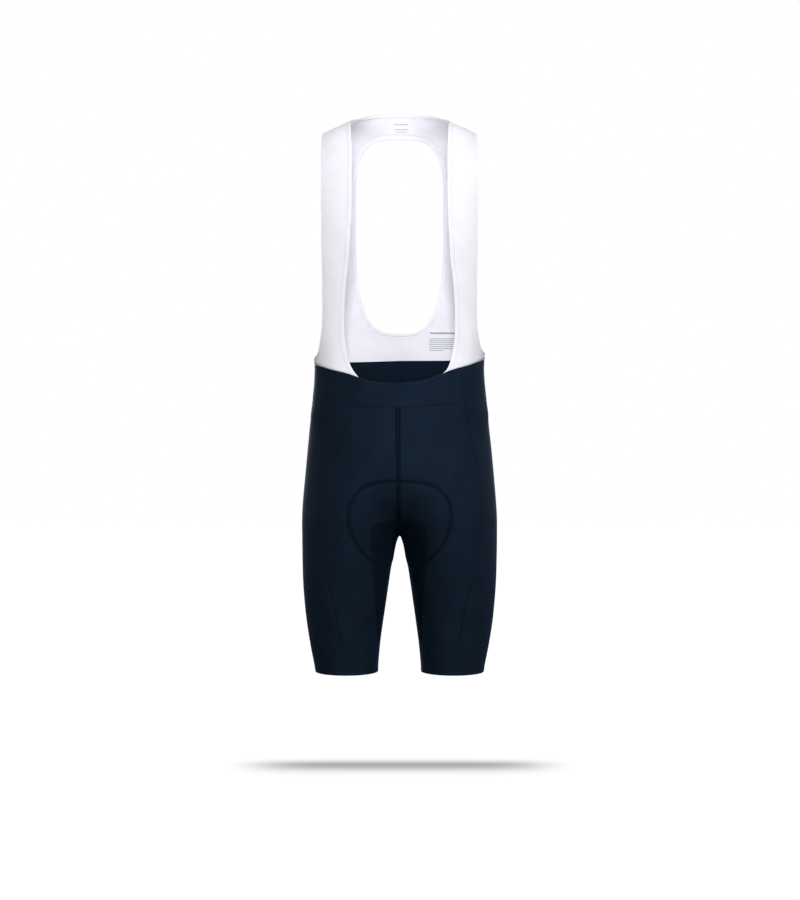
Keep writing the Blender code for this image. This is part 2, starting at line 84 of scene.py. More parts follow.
# Angles round the body from its front; the straps' corners are on the left and the right
STRAP_CORNER_ANGLE = {1: 39.8, -1: 37.5}
SIDE_SEAM_ANGLE = 92.0

# The white cloth reaches this far below the armhole, and behind it a tab of the back begins
ARMHOLE_RISE = 8.0
TAB_TOP = -345.0

# Crotch: a height inside the seat above it, and where the pad's middle line turns under it
CROTCH_SEARCH_HEIGHT = -640.0
CROTCH_TURN = -672.0

# Longest way out of the body, and out of one leg or the crotch
BODY_REACH = 260.0
LEG_REACH = 90.0

# Opening in the back of the bib, a squared oval: height above or below its middle, squareness
OVAL_HALF_WIDTH = 78.0
OVAL_MIDDLE = -128.0
OVAL_UP = (122.0, 3.4)
OVAL_DOWN = (218.0, 3.2)

# The web between the legs is whole this far in front of and behind the crotch
WEB_REACH = 65.0
WEB_LEAST = 0.3

# The body form, one leg's half:
# height, inner and outer edge in x, front and back in y, squareness, web between the halves
BODY = np.array([
    (-945, 37, 140, -59, 57, 2.0, 0),
    (-924, 36.5, 143, -61, 60, 2.0, 0),
    (-880, 33, 151.5, -67, 66, 2.0, 0),
    (-838, 27.5, 158, -73, 72, 2.0, 2),
    (-804, 22.5, 161.5, -79, 77, 2.0, 6),
    (-770, 17.5, 164, -85, 83, 2.0, 12),
    (-736, 12, 165, -91, 90, 2.0, 19),
    (-694, 2, 165.5, -97, 98, 2.05, 26),
    (-660, -20, 165.5, -102, 108, 2.1, 36),
    (-625, -57, 163.5, -106, 120, 2.15, 40),
    (-585, -98, 160, -108, 127, 2.2, 28),
    (-545, -132, 156, -109, 124, 2.25, 10),
    (-505, -150, 151.5, -108, 113, 2.3, 0),
    (-465, -148.5, 148.5, -106, 99, 2.3, 0),
    (-430, -147, 147, -104, 88, 2.3, 0),
    (-400, -146.5, 146.5, -103, 83, 2.3, 0),
    (-340, -150, 150, -105, 86, 2.3, 0),
    (-270, -157, 157, -111, 95, 2.3, 0),
    (-200, -165, 165, -118, 105, 2.3, 0),
    (-130, -172, 172, -117, 111, 2.3, 0),
    (-85, -172, 172, -109, 108, 2.2, 0),
    (-45, -160, 160, -93, 99, 2.1, 0),
    (-12, -130, 130, -76, 87, 2.0, 0),
    (10, -84, 84, -62, 79, 2.0, 0),
    (36, -66, 66, -50, 72, 2.0, 0),
    (70, -60, 60, -45, 64, 2.0, 0),
], float)

# Waist: angle round from the front, height of the band's top edge, height of its lower seam
WAIST = np.array([
    (0, -440, -480),
    (19, -437.5, -479),
    (30, -433, -478),
    (37.5, -427, -477.2),
    (47, -419.8, -475.5),
    (58, -413.5, -470),
    (69, -407, -465),
    (80, -402, -461),
    (92, -399, -458),
    (125, -395.5, -455),
    (180, -393, -453),
], float)

# Edges and seams: x, height
STRAP_INNER_EDGE = [
    (69, -427), (77, -418), (84, -404), (88, -388), (91, -368), (92, -345), (91, -303),
    (88, -270), (84, -238), (82, -206), (80, -173), (79, -141), (79, -107), (79, -73),
    (80, -37), (82, -9),
]
ARMHOLE_EDGE = [
    (144, -389.5), (141, -387), (137, -382), (133, -367), (130, -352), (128.2, -330),
    (128, -300), (128.5, -230), (129, -160), (129.5, -90),
]
SIDE_FRONT_SEAM = [
    (110, -474), (115, -512), (122, -548), (131, -590), (135.5, -625), (136, -665),
    (134, -698), (127, -735), (116, -780), (106, -822), (98, CUFF_SEAM),
]
SIDE_BACK_SEAM = [
    (112, -461), (117, -512), (123, -548), (130, -590), (134, -625), (135, -665),
    (133, -698), (127, -735), (117, -780), (108, -822), (100, CUFF_SEAM),
]
GUSSET_FRONT_SEAM = [
    (0, -665), (15, -665.5), (28, -667), (38, -671), (44, -680), (46, -694), (45, -715),
    (44, -748), (41, -785), (38, -835), (37, CUFF_SEAM),
]
GUSSET_BACK_SEAM = [
    (0, -672), (15, -673), (28, -676), (38, -683), (44, -695), (46, -715), (45, -750),
    (42, -790), (39, -835), (38, CUFF_SEAM),
]

# Neck: the shoulder seam's inner end in x, a strap's edge in front of it, and the nape's edge
NAPE_END = 73.0
STRAP_NECK_PLACE = (84, -12, 8)
NAPE = [(51, 53, 29), (25, 68, 33), (0, 72, 36)]

# Half the chamois pad's outline, from its front tip to its back tip: x, height, side it is on
PAD_OUTLINE = [
    (0, -601, FRONT), (33, -603, FRONT), (60, -612, FRONT), (78, -630, FRONT),
    (85, -656, FRONT), (81, -684, FRONT), (70, -706, FRONT), (54, -726, FRONT),
    (36, -742, FRONT), (14, -754, 0), (38, -742, BACK), (58, -722, BACK), (76, -696, BACK),
    (90, -662, BACK), (93, -628, BACK), (84, -592, BACK), (62, -564, BACK),
    (34, -550, BACK), (0, -546, BACK),
]

# Rows of the shorts from the waistband down: cells, and where each run of them ends as a share
# of the centre seam, of the gusset's seams and of the side seams
ROWS = {
    "waist": (26, 0.45, 0.0, 0.14),
    "seat": (42, 1.0, 0.0, 0.30),
    "crotch": (36, 1.0, 0.22, 0.44),
    "leg": (84, 1.0, 1.0, 1.0),
}

# Size of the cells at a seam's two ends over a full one, and points that smooth a line's places
END_CELL = 0.3
SMOOTH_POINTS = 40


# --- The body form


def smooth_rows(table: Array, places: Array, keys: Array | None = None) -> Array:
    """Interpolate a table's rows smoothly along its first column.

    Args:
        table: The rows to pass through.
        places: Where along the keys to read them.
        keys: One value a row, in place of the first column.

    Returns:
        The table's columns at the places, columns first.
    """
    keys = table[:, 0] if keys is None else keys
    slopes = np.gradient(table, keys, axis=0)
    places = np.clip(places, keys[0], keys[-1])
    row = np.clip(np.searchsorted(keys, places) - 1, 0, len(keys) - 2)
    step = (keys[row + 1] - keys[row])[..., None]
    t = (places - keys[row])[..., None] / step
    curve = ((2 * t**3 - 3 * t**2 + 1) * table[row] + (t**3 - 2 * t**2 + t) * slopes[row] * step
             + (3 * t**2 - 2 * t**3) * table[row + 1] + (t**3 - t**2) * slopes[row + 1] * step)
    return np.moveaxis(curve, -1, 0)


@dataclass(frozen=True)
class BodyForm:
    """The smooth figure that every piece of cloth lies on.

    Attributes:
        slope_step: Distance over which its slope is measured.
        settle_rounds: Rounds in which a point is brought onto it.
        ray_step: Distance between the first tries along a ray.
        ray_rounds, ray_tries: Rounds that narrow it down, and tries in each.
        close: Distance at which they stop.
        least_web: Width of the web where there is none.
        least_slope: Square of the slope below which a point isn't moved further.
    """

    slope_step: float = 0.05
    settle_rounds: int = 6
    ray_step: float = 2.0
    ray_rounds: int = 16
    ray_tries: int = 9
    close: float = 1e-5
    least_web: float = 0.001
    least_slope: float = 1e-6

    def sections(self, z: Array) -> Array:
        """The table's columns at the heights z."""
        return smooth_rows(BODY, np.asarray(z, float))

    @staticmethod
    def _half(x: Array, y: Array, rows: Array) -> Array:
        """Signed measure, below zero inside, of one half of the body.

        Args:
            x, y: Where the points are.
            rows: The sections at their heights.

        Returns:
            One value a point.
        """
        _, inner, outer, front, back, squareness, _ = rows
        reach_x, reach_y = (outer - inner) / 2, (back - front) / 2
        across = np.abs(x - (inner + outer) / 2) / reach_x
        along = np.abs(y - (front + back) / 2) / reach_y
        size = (across**squareness + along**squareness) ** (1 / squareness)
        return (size - 1) * np.minimum(reach_x, reach_y)

    def measure(self, points: Array, rows: Array | None = None) -> Array:
        """Signed measure, below zero inside, of both halves and their web.

        Args:
            points: Places, the last axis x, y, z.
            rows: The sections at their heights, where they are known.

        Returns:
            One value a point.
        """
        x, y = points[..., 0], points[..., 1]
        rows = self.sections(points[..., 2]) if rows is None else rows
        web = rows[6] * np.clip(np.abs(y) / WEB_REACH, WEB_LEAST, 1)
        web = np.maximum(web, self.least_web)
        one, other = self._half(x, y, rows), self._half(-x, y, rows)
        blend = np.maximum(web - np.abs(one - other), 0) / web
        return np.minimum(one, other) - blend**2 * web / 4

    def slope(self, points: Array) -> Array:
        """Gradient of the measure.

        Args:
            points: Places on or near the form.

        Returns:
            Vectors that point out of the form, one a point.
        """
        level = self.sections(points[..., 2])
        sides = []
        for axis, rows in enumerate((level, level, None)):
            shift = np.eye(3)[axis] * self.slope_step
            sides.append(self.measure(points + shift, rows) - self.measure(points - shift, rows))
        return np.stack(sides, -1) / (2 * self.slope_step)

    def outward(self, points: Array) -> Array:
        """Unit normals of the form at the points."""
        slope = self.slope(points)
        return slope / np.linalg.norm(slope, axis=-1, keepdims=True)

    def settle(self, points: Array, depth: float = 0.0) -> Array:
        """Move points onto the form, or onto the surface at a depth inside it.

        Args:
            points: Places near the form.
            depth: How far inside it they end up.

        Returns:
            The moved points.
        """
        points = np.array(points, float)
        for _ in range(self.settle_rounds):
            slope = self.slope(points)
            steepness = np.maximum((slope**2).sum(-1, keepdims=True), self.least_slope)
            points = points - self.measure(points)[..., None] * slope / steepness
        return points - depth * self.outward(points) if depth else points

    def leave(self, start: tuple, direction: tuple, reach: float = BODY_REACH) -> Array:
        """Follow a ray out of the body to the last place on its surface.

        Args:
            start: A point inside.
            direction: The ray's unit direction.
            reach: How far to search.

        Returns:
            The place where the ray leaves the form.
        """
        start, direction = np.array(start, float), np.array(direction, float)
        steps = np.arange(0, reach, self.ray_step)
        inside = np.nonzero(self.measure(start + steps[:, None] * direction) <= 0)[0]
        near = steps[inside[-1]]
        far = near + self.ray_step
        for _ in range(self.ray_rounds):
            tries = np.linspace(near, far, self.ray_tries)
            within = np.nonzero(self.measure(start + tries[:, None] * direction) <= 0)[0][-1]
            near, far = tries[within], tries[min(within + 1, self.ray_tries - 1)]
            if far - near < self.close:
                break
        return start + near * direction

    def at(self, x: float, z: float, facing: int) -> Array:
        """Place on the front or back at x and a height."""
        return self.leave((x, 0, z), (0, facing, 0))

    def around_waist(self, angle: float, z: float) -> Array:
        """Place on the whole body's surface.

        Args:
            angle: Angle round from the front, towards +X.
            z: Height.

        Returns:
            The place.
        """
        _, _, _, front, back, _, _ = self.sections(np.array(float(z)))
        turn = math.radians(angle)
        return self.leave((0, (front + back) / 2, z), (math.sin(turn), -math.cos(turn), 0))

    def leg_middle(self, z: float) -> Array:
        """Middle of the +X leg's section at a height."""
        _, inner, outer, front, back, _, _ = self.sections(np.array(float(z)))
        return np.array([(inner + outer) / 2, (front + back) / 2, z])

    def around_leg(self, angle: float, z: float) -> Array:
        """Place on the +X leg at an angle round from its front, towards its outer side."""
        turn = math.radians(angle)
        return self.leave(self.leg_middle(z), (math.sin(turn), -math.cos(turn), 0), LEG_REACH)

    def over_shoulder(self, x: float, angle: float) -> Array:
        """Place on the shoulder at x, at an angle up from level, front to back."""
        turn = math.radians(angle)
        return self.leave((x, 0, ARCH_CENTRE), (0, -math.cos(turn), math.sin(turn)))

    def crotch(self) -> Array:
        """Lowest place between the legs."""
        return self.leave((0, 0, CROTCH_SEARCH_HEIGHT), (0, 0, -1), LEG_REACH)


FORM = BodyForm()


# --- Lines and patches


def graded(cells: int, first: float = 0.25, last: float = 0.25, run: int = 9) -> Array:
    """Shares from 0 to 1 of a run of cells that narrow towards its ends.

    Args:
        cells: How many cells there are.
        first: Size of the first cell over a full one.
        last: Size of the last cell over a full one.
        run: Over how many cells they narrow.

    Returns:
        cells + 1 shares.
    """
    steps = np.ones(cells)
    run = min(run, cells // 2)
    steps[:run] = np.minimum(steps[:run], np.linspace(first, 1, run))
    steps[cells - run:] = np.minimum(steps[cells - run:], np.linspace(1, last, run))
    return np.r_[0, np.cumsum(steps)] / steps.sum()


def travel(points: Array) -> Array:
    """Length travelled along a run of points at each of them."""
    return np.r_[0, np.cumsum(np.linalg.norm(np.diff(points, axis=0), axis=1))]


def smooth_line(places: list, shares: Array) -> Array:
    """Lay a smooth curve through places on the form.

    Args:
        places: The places, in order.
        shares: Shares of the curve's length at which its points lie.

    Returns:
        The points.
    """
    places = np.array(places, float)
    along = travel(places)
    curve = smooth_rows(places, np.linspace(0, along[-1], SMOOTH_POINTS * len(places)), along).T
    length = travel(curve)
    points = [np.interp(shares * length[-1], length, axis) for axis in curve.T]
    return FORM.settle(np.stack(points, -1))


def patch(top: Array, bottom: Array, first: Array, last: Array) -> Array:
    """Stretch a patch between four lines on the form.

    Args:
        top: Points from first to last along the top.
        bottom: The same along the bottom.
        first: Points from top to bottom along the first side.
        last: The same along the last side.

    Returns:
        The grid of points, rows downwards.
    """
    down = (travel(first) / travel(first)[-1])[:, None, None]
    across = (travel(top) / travel(top)[-1])[None, :, None]
    ruled_down = (1 - down) * top[None] + down * bottom[None]
    ruled_across = (1 - across) * first[:, None] + across * last[:, None]
    corners = ((1 - down) * ((1 - across) * top[0] + across * top[-1])
               + down * ((1 - across) * bottom[0] + across * bottom[-1]))
    grid = FORM.settle(ruled_down + ruled_across - corners)
    grid[0], grid[-1], grid[:, 0], grid[:, -1] = top, bottom, first, last
    return grid


def waist_height(angle: float, edge: int) -> float:
    """Height of a waistband edge.

    Args:
        angle: Angle round from the front, towards +X.
        edge: 1 for the top edge, 2 for the lower seam.

    Returns:
        The height.
    """
    turn = abs((angle + 180) % 360 - 180)
    behind = float(ease(turn, SIDE_SEAM_ANGLE, BACK_TILT_ANGLE))
    tilt = WAIST_TILT * (1 - (1 - BACK_TILT_SHARE) * behind)
    return float(smooth_rows(WAIST, np.array(turn))[edge]) + tilt * math.sin(math.radians(angle))


def angle_of(place: Array) -> float:
    """Angle of a place round from the front."""
    _, _, _, front, back, _, _ = FORM.sections(np.array(float(place[2])))
    return math.degrees(math.atan2(abs(place[0]), (front + back) / 2 - place[1]))


def waist_points(angles: Array, edge: int, side: int = 1) -> Array:
    """Places on a waistband edge, worked out on the +X side for either side of the body."""
    return np.array([FORM.around_waist(a, waist_height(side * a, edge)) for a in angles])


def row_shares(column: int, names: tuple) -> Array:
    """Shares of a seam at which rows meet it, narrow at both its ends.

    Args:
        column: Which of the shares in ROWS the seam has.
        names: The runs of rows that meet it.

    Returns:
        The shares, from 0.
    """
    shares, start = [0.0], 0.0
    for number, name in enumerate(names):
        cells, end = ROWS[name][0], ROWS[name][column]
        first = END_CELL if number == 0 else 1.0
        last = END_CELL if name == "leg" else 1.0
        shares.extend(start + (end - start) * graded(cells, first, last)[1:])
        start = end
    return np.array(shares)


class Seams:
    """Every seam and edge of the cut, worked out on the wearer's left.

    In its methods facing is FRONT or BACK, side is 1 on the wearer's left and -1 on the right,
    and shares are those of a line's length at which its points lie.
    """

    def __init__(self) -> None:
        """Find the angles at which the side pieces start at the waist."""
        self.front_angle = angle_of(FORM.at(*SIDE_FRONT_SEAM[0], FRONT))
        self.back_angle = angle_of(FORM.at(*SIDE_BACK_SEAM[0], BACK))

    def gusset(self, table: list, facing: int) -> Array:
        """Front or back seam of the gusset, from the crotch's middle down one leg."""
        return smooth_line([FORM.at(x, z, facing) for x, z in table],
                           row_shares(2, ("crotch", "leg")))

    def centre(self, angle: float, end: float, facing: int) -> Array:
        """Centre seam of the shorts, from the waistband down to the gusset.

        Args:
            angle: 0 in front, 180 behind.
            end: Height at which it meets the gusset.
            facing: Which side it is on.

        Returns:
            Its points.
        """
        start = waist_height(angle, 2)
        shares = row_shares(1, ("waist", "seat"))
        return np.array([FORM.at(0, start + (end - start) * share, facing) for share in shares])

    def side(self, table: list, facing: int, side: int) -> Array:
        """Seam of a side piece, from the waistband down to the cuff.

        Args:
            table: Its places in x and height.
            facing: Which edge of the side piece it is.
            side: Which leg it is on.

        Returns:
            Its points.
        """
        angle = angle_of(FORM.at(*table[0], facing))
        start = waist_points(np.array([angle]), 2, side)[0]
        places = [start] + [FORM.at(x, z, facing) for x, z in table[1:]]
        return smooth_line(places, row_shares(3, tuple(ROWS)))

    def cuff(self, start: Array, end: Array, shares: Array) -> Array:
        """Part of the level cuff seam, the short way round the leg.

        Args:
            start, end: Where it starts and ends.
            shares: Shares of the turn between them.

        Returns:
            Its points.
        """
        middle = FORM.leg_middle(CUFF_SEAM)
        first, last = (math.degrees(math.atan2(place[0] - middle[0], middle[1] - place[1]))
                       for place in (start, end))
        way = (last - first + 180) % 360 - 180
        return np.array([FORM.around_leg(first + way * share, CUFF_SEAM) for share in shares])

    def strap_inner(self, side: int, shares: Array) -> Array:
        """Inner edge of a strap, from the shoulder seam down to the waistband.

        Args:
            side: Which strap it is.
            shares: Where its points lie.

        Returns:
            Its points.
        """
        shoulder = [FORM.over_shoulder(NAPE_END, SHOULDER_SEAM_ANGLE), STRAP_NECK_PLACE]
        edge = [FORM.at(x, z, FRONT) for x, z in STRAP_INNER_EDGE[::-1]]
        edge[-1] = waist_points(np.array([STRAP_CORNER_ANGLE[side]]), 1, side)[0]
        return smooth_line(shoulder + edge, shares)

    def armhole(self, facing: int, side: int, shares: Array) -> Array:
        """Edge of an armhole, from the shoulder seam to just above the side seam.

        Args:
            facing: Whether it is the front or the back edge.
            side: Which armhole it is.
            shares: Where its points lie.

        Returns:
            Its points.
        """
        level = ARCH_MARGIN if facing == FRONT else 180 - ARCH_MARGIN
        angles = np.linspace(SHOULDER_SEAM_ANGLE, level, ARCH_PLACES)
        arch = [FORM.over_shoulder(STRAP_OUTER_EDGE, a) for a in angles]
        foot = waist_height(side * SIDE_SEAM_ANGLE, 1)
        lowest = FORM.around_waist(SIDE_SEAM_ANGLE, foot + ARMHOLE_RISE)
        x, z = np.array(ARMHOLE_EDGE[::-1], float).T
        z += side * WAIST_TILT * np.clip((z - TAB_TOP) / (ARMHOLE_EDGE[0][1] - TAB_TOP), 0, 1)
        down = [FORM.at(*place, facing) for place in zip(x, z)]
        return smooth_line(arch + down + [lowest], shares)

    def shoulder(self, shares: Array) -> Array:
        """Shoulder seam, from the neck out to the armhole."""
        across = NAPE_END + (STRAP_OUTER_EDGE - NAPE_END) * shares
        return np.array([FORM.over_shoulder(x, SHOULDER_SEAM_ANGLE) for x in across])

    def nape(self, shares: Array) -> Array:
        """Edge of the nape, from the shoulder seam to the middle of the back."""
        half = [FORM.over_shoulder(NAPE_END, SHOULDER_SEAM_ANGLE), *np.array(NAPE, float)]
        return smooth_line(half + [place * MIRROR for place in half[-2::-1]], shares / 2)

    def oval(self, place: Array) -> Array:
        """Point of the oval opening's edge.

        Args:
            place: What it lies towards, seen from the oval's middle.

        Returns:
            The point.
        """
        turn = math.atan2(place[2] - OVAL_MIDDLE, place[0])
        tall, squareness = OVAL_UP if turn > 0 else OVAL_DOWN
        across = abs(math.cos(turn)) / OVAL_HALF_WIDTH
        up = abs(math.sin(turn)) / tall
        reach = (across**squareness + up**squareness) ** (-1 / squareness)
        return FORM.at(reach * math.cos(turn), OVAL_MIDDLE + reach * math.sin(turn), BACK)


SEAMS = Seams()


# --- Relief: what lifts or sinks the cloth off the form


def bell(distance: Array, width: float) -> Array:
    """A soft bump of height 1 that fades out over its width."""
    return np.exp(-((distance / width) ** 2))


def ease(values: Array, start: float, end: float) -> Array:
    """A smooth step from 0 at start to 1 at end."""
    t = np.clip((values - start) / (end - start), 0, 1)
    return t * t * (3 - 2 * t)


def line_distance(points: Array, line: Array) -> tuple[Array, Array]:
    """Distance of points from a polyline, and the share of its run at the nearest place.

    Args:
        points: Places, the last axis x, y, z.
        line: The polyline's points.

    Returns:
        Distances and shares, one a point.
    """
    best = np.full(points.shape[:-1], np.inf)
    share = np.zeros(points.shape[:-1])
    last = len(line) - 1
    for number, (start, end) in enumerate(zip(line[:-1], line[1:])):
        run = end - start
        t = np.clip(((points - start) @ run) / (run @ run), 0, 1)
        distance = np.linalg.norm(points - start - t[..., None] * run, axis=-1)
        nearer = distance < best
        best = np.where(nearer, distance, best)
        share = np.where(nearer, (number + t) / last, share)
    return best, share


class Round(Enum):
    """What a crease's angles are measured round."""

    WAIST = "the whole body, from its front"
    LEG = "one leg, from its front towards its outer side"


@dataclass(frozen=True)
class Crease:
    """One soft trough or ridge of the cloth.

    Attributes:
        around: What its angles are measured round.
        start: Angle and height of its start.
        end: Angle and height of its end.
        depth: How far it rises, or sinks where it is below zero.
        width: Distance over which it fades out.
        bow: How far its middle bows down.
        side: 1 on the wearer's left, -1 on the right.
    """

    around: Round
    start: tuple[float, float]
    end: tuple[float, float]
    depth: float
    width: float
    bow: float = 0.0
    side: int = 1

    def line(self) -> Array:
        """Lay out the crease's own line.

        Returns:
            Its points on the form.
        """
        place = FORM.around_waist if self.around is Round.WAIST else FORM.around_leg
        shares = np.linspace(0, 1, CREASE_POINTS)
        angles = self.start[0] + (self.end[0] - self.start[0]) * shares
        heights = self.start[1] + (self.end[1] - self.start[1]) * shares
        heights = heights - self.bow * 4 * shares * (1 - shares)
        return np.array([place(a, z) for a, z in zip(angles, heights)]) * (self.side, 1, 1)


# Creases of the left half; the right half has them a little shifted: what they run round, where
# they start and end (angle, height), depth, width, bow
CREASES = [
    # pulled from the crotch over the front of the thigh
    (Round.LEG, (-62, -690), (-18, -640), -1.0, 8, 6),
    (Round.LEG, (-66, -704), (-4, -668), 0.9, 8, 10),
    (Round.LEG, (-72, -722), (-14, -706), -0.9, 9, 9),
    (Round.LEG, (-78, -744), (-32, -748), 0.7, 9, 6),
    (Round.LEG, (-84, -770), (-46, -790), -0.6, 10, 4),
    # along the hip, from the waist down
    (Round.LEG, (34, -560), (12, -690), 0.6, 16, 0),
    (Round.LEG, (54, -600), (40, -760), -0.5, 18, 0),
    (Round.LEG, (20, -760), (26, -850), 0.4, 14, 0),
    (Round.LEG, (-20, -800), (-10, -866), -0.35, 12, 0),
    # waist
    (Round.WAIST, (16, -488), (30, -530), -0.5, 12, 0),
    (Round.WAIST, (34, -486), (44, -548), 0.5, 13, 0),
    (Round.WAIST, (58, -480), (64, -540), -0.5, 12, 0),
    (Round.WAIST, (76, -470), (84, -520), 0.5, 10, 0),
    (Round.WAIST, (112, -470), (104, -520), -0.7, 11, 0),
    (Round.WAIST, (138, -462), (132, -505), 0.6, 13, 0),
    # under the seat and round the back of the leg
    (Round.LEG, (196, -716), (150, -700), -1.3, 9, 10),
    (Round.LEG, (208, -732), (158, -722), 1.0, 9, 9),
    (Round.LEG, (222, -742), (186, -752), -0.9, 9, 6),
    (Round.LEG, (236, -700), (204, -676), 0.8, 9, 4),
    (Round.LEG, (150, -776), (214, -790), -0.6, 10, 5),
    (Round.LEG, (140, -838), (206, -846), 0.45, 9, 4),
    # white straps and back
    (Round.WAIST, (50, -398), (46, -352), -0.5, 9, 0),
    (Round.WAIST, (66, -392), (58, -340), 0.5, 9, 0),
    (Round.WAIST, (40, -250), (43, -140), 0.45, 12, 0),
    (Round.WAIST, (128, -384), (140, -330), -0.5, 10, 0),
    (Round.WAIST, (152, -384), (158, -356), 0.4, 10, 0),
    # held in at the side under the arm
    (Round.WAIST, (60, -416), (122, -412), -2.4, 45, 0),
]

# Points along a crease, the stray of its ends on the left and on the right, the share of its
# depth there, and how far the stray's wave turns from one crease to the next
CREASE_POINTS = 9
CREASE_SHIFT = (5.0, -7.0)
CREASE_SHARE = (1.5, 1.2)
CREASE_TURN = 1.7


@dataclass(frozen=True)
class Imprint:
    """Outline of the pad as it shows through the cloth, with the line that sews it on; its sunk band
    gets painted shade.

    Attributes:
        swell: How far the pad lifts the cloth inside its outline.
        sunk: How far the sewn band lies below it.
        band: Half the width of the sewn band.
        band_edge: Shares of that half between which its painted shade fades out.
        shoulder: Distance over which the cloth comes up to the swell.
        fade: Heights between which all of it fades out down the inner leg.
        shade: How dark the band's painted shade is.
        points: Points along the outline on each side of the body.
    """

    swell: float = 0.6
    sunk: float = 1.0
    band: float = 3.3
    band_edge: tuple = (0.72, 1.25)
    shoulder: float = 12.0
    fade: tuple = (-750.0, -730.0)
    shade: float = 0.6
    points: int = 121

    def lines(self, facing: int) -> Array:
        """The outline on one side of the body, from one leg over the pad's tip to the other.

        Args:
            facing: FRONT or BACK.

        Returns:
            Its points.
        """
        half = [FORM.at(x, z, facing) for x, z, on in PAD_OUTLINE if on == facing]
        half = half if facing == FRONT else half[::-1]
        places = [place * MIRROR for place in half[:0:-1]] + half
        return smooth_line(places, np.linspace(0, 1, self.points))

    def height(self, points: Array, line: Array) -> tuple[Array, Array]:
        """Lift of the cloth and the painted shade of the band.

        Args:
            points: Places on the form.
            line: The outline on that side.

        Returns:
            The lift in millimetres and the share of the band's painted shade, one of each a point.
        """
        distance, _ = line_distance(points, line)
        middle = CROTCH_TURN
        reach = np.hypot(line[:, 0], line[:, 2] - middle)
        turn = np.arctan2(line[:, 0], line[:, 2] - middle)
        order = np.argsort(turn)
        edge = np.interp(np.arctan2(points[..., 0], points[..., 2] - middle),
                         turn[order], reach[order])
        inside = np.hypot(points[..., 0], points[..., 2] - middle) < edge
        fade = ease(points[..., 2], *self.fade)
        start, end = (self.band * share for share in self.band_edge)
        band = fade * (1 - ease(distance, start, end))
        swell = fade * np.where(inside, ease(distance, 0, self.shoulder), 0.0)
        lift = self.swell * swell - self.sunk * fade * bell(distance, self.band)
        return lift, self.shade * band


@dataclass
class Relief:
    """Lift of the cloth at any place on the form, and the painted shade that goes with it.

    Attributes:
        ripple: Height of the faint waves all over the cloth.
        waves: Lengths over a radian of the first wave in x and z, and of the other in z and y.
        start: Angle at which the first wave starts.
        taper: How abruptly a crease ends.
        margin: How far from a crease it is looked at, in its widths.
        outline_margin: How far from the pad's outline its imprint is.
        imprint: The pad's imprint.
    """

    ripple: float = 0.22
    waves: tuple = (23, 61, 37, 29)
    start: float = 1.3
    taper: float = 0.7
    margin: int = 3
    outline_margin: float = 20
    imprint: Imprint = Imprint()

    def __post_init__(self) -> None:
        """Lay out every crease and the pad's outline once."""
        self.creases: list[tuple[Crease, Array]] = []
        for (_, side), shift, share in zip(SIDES, CREASE_SHIFT, CREASE_SHARE):
            for number, (around, start, end, depth, width, bow) in enumerate(CREASES):
                stray = shift * math.sin(CREASE_TURN * number)
                crease = Crease(around, (start[0] + stray, start[1] + stray),
                                (end[0] - stray, end[1] + stray), depth * share, width, bow, side)
                self.creases.append((crease, crease.line()))
        self.outlines = {facing: self.imprint.lines(facing) for facing in (FRONT, BACK)}

    def height(self, points: Array) -> tuple[Array, Array]:
        """Lift of the cloth over the form, in millimetres, and its tone.

        Args:
            points: Places on the form.

        Returns:
            The lift, and the tone from -1, darkest, to 0: the painted shade of the pad's sunk band.
        """
        x, y, z = points[..., 0], points[..., 1], points[..., 2]
        one, two, three, four = self.waves
        lift = (self.ripple * np.sin(x / one + z / two + self.start)
                * np.sin(z / three + y / four))
        low, high = points.reshape(-1, 3).min(0), points.reshape(-1, 3).max(0)
        for crease, line in self.creases:
            margin = self.margin * crease.width
            if (line.max(0) + margin < low).any() or (line.min(0) - margin > high).any():
                continue
            distance, share = line_distance(points, line)
            taper = np.sin(np.pi * np.clip(share, 0, 1)) ** self.taper
            lift += crease.depth * taper * bell(distance, crease.width)
        # tone: painted shade along the pad's sunk band
        tone = np.zeros(points.shape[:-1])
        margin = self.outline_margin
        for facing, line in self.outlines.items():
            if (line.max(0) + margin < low).any() or (line.min(0) - margin > high).any():
                continue
            on_side = (y * facing) > -margin
            rise, band = self.imprint.height(points, line)
            lift += np.where(on_side, rise, 0)
            tone -= np.where(on_side, band, 0)
        return lift, tone


RELIEF = Relief()


# --- Shells of cloth


@dataclass(frozen=True)
class EdgeSizes:
    """Sizes that every seam and hem shares.

    Attributes:
        sink: How far a sewn edge is pulled in.
        sink_width: Distance over which it is pulled in.
        hem_rise: How far a hem's second layer lifts it.
        step: Width of the step where that layer ends.
        fold: Radius of a hem's fold.
        least_fold: Its radius where a seam crosses it.
        pinch: Distance over which a fold is flattened towards a seam that crosses it.
        hem_tone: How much lighter a hem looks.
        seam_tone: How much darker a sewn edge looks, painted shade where it sinks.
        seam_shade: Distance over which that painted shade fades.
        line_shade: The same for the painted shade in the needle line's groove at a hem's end.
        fold_points: Points round a fold.
        closed: Gap below which the ends of an edge meet in a ring.
    """

    sink: float = 0.7
    sink_width: float = 1.4
    hem_rise: float = 0.2
    step: float = 0.9
    fold: float = 0.75
    least_fold: float = 0.45
    pinch: float = 6.0
    hem_tone: float = 0.3
    seam_tone: float = 0.45
    seam_shade: float = 1.1
    line_shade: float = 0.9
    fold_points: int = 7
    closed: float = 0.01


EDGES = EdgeSizes()


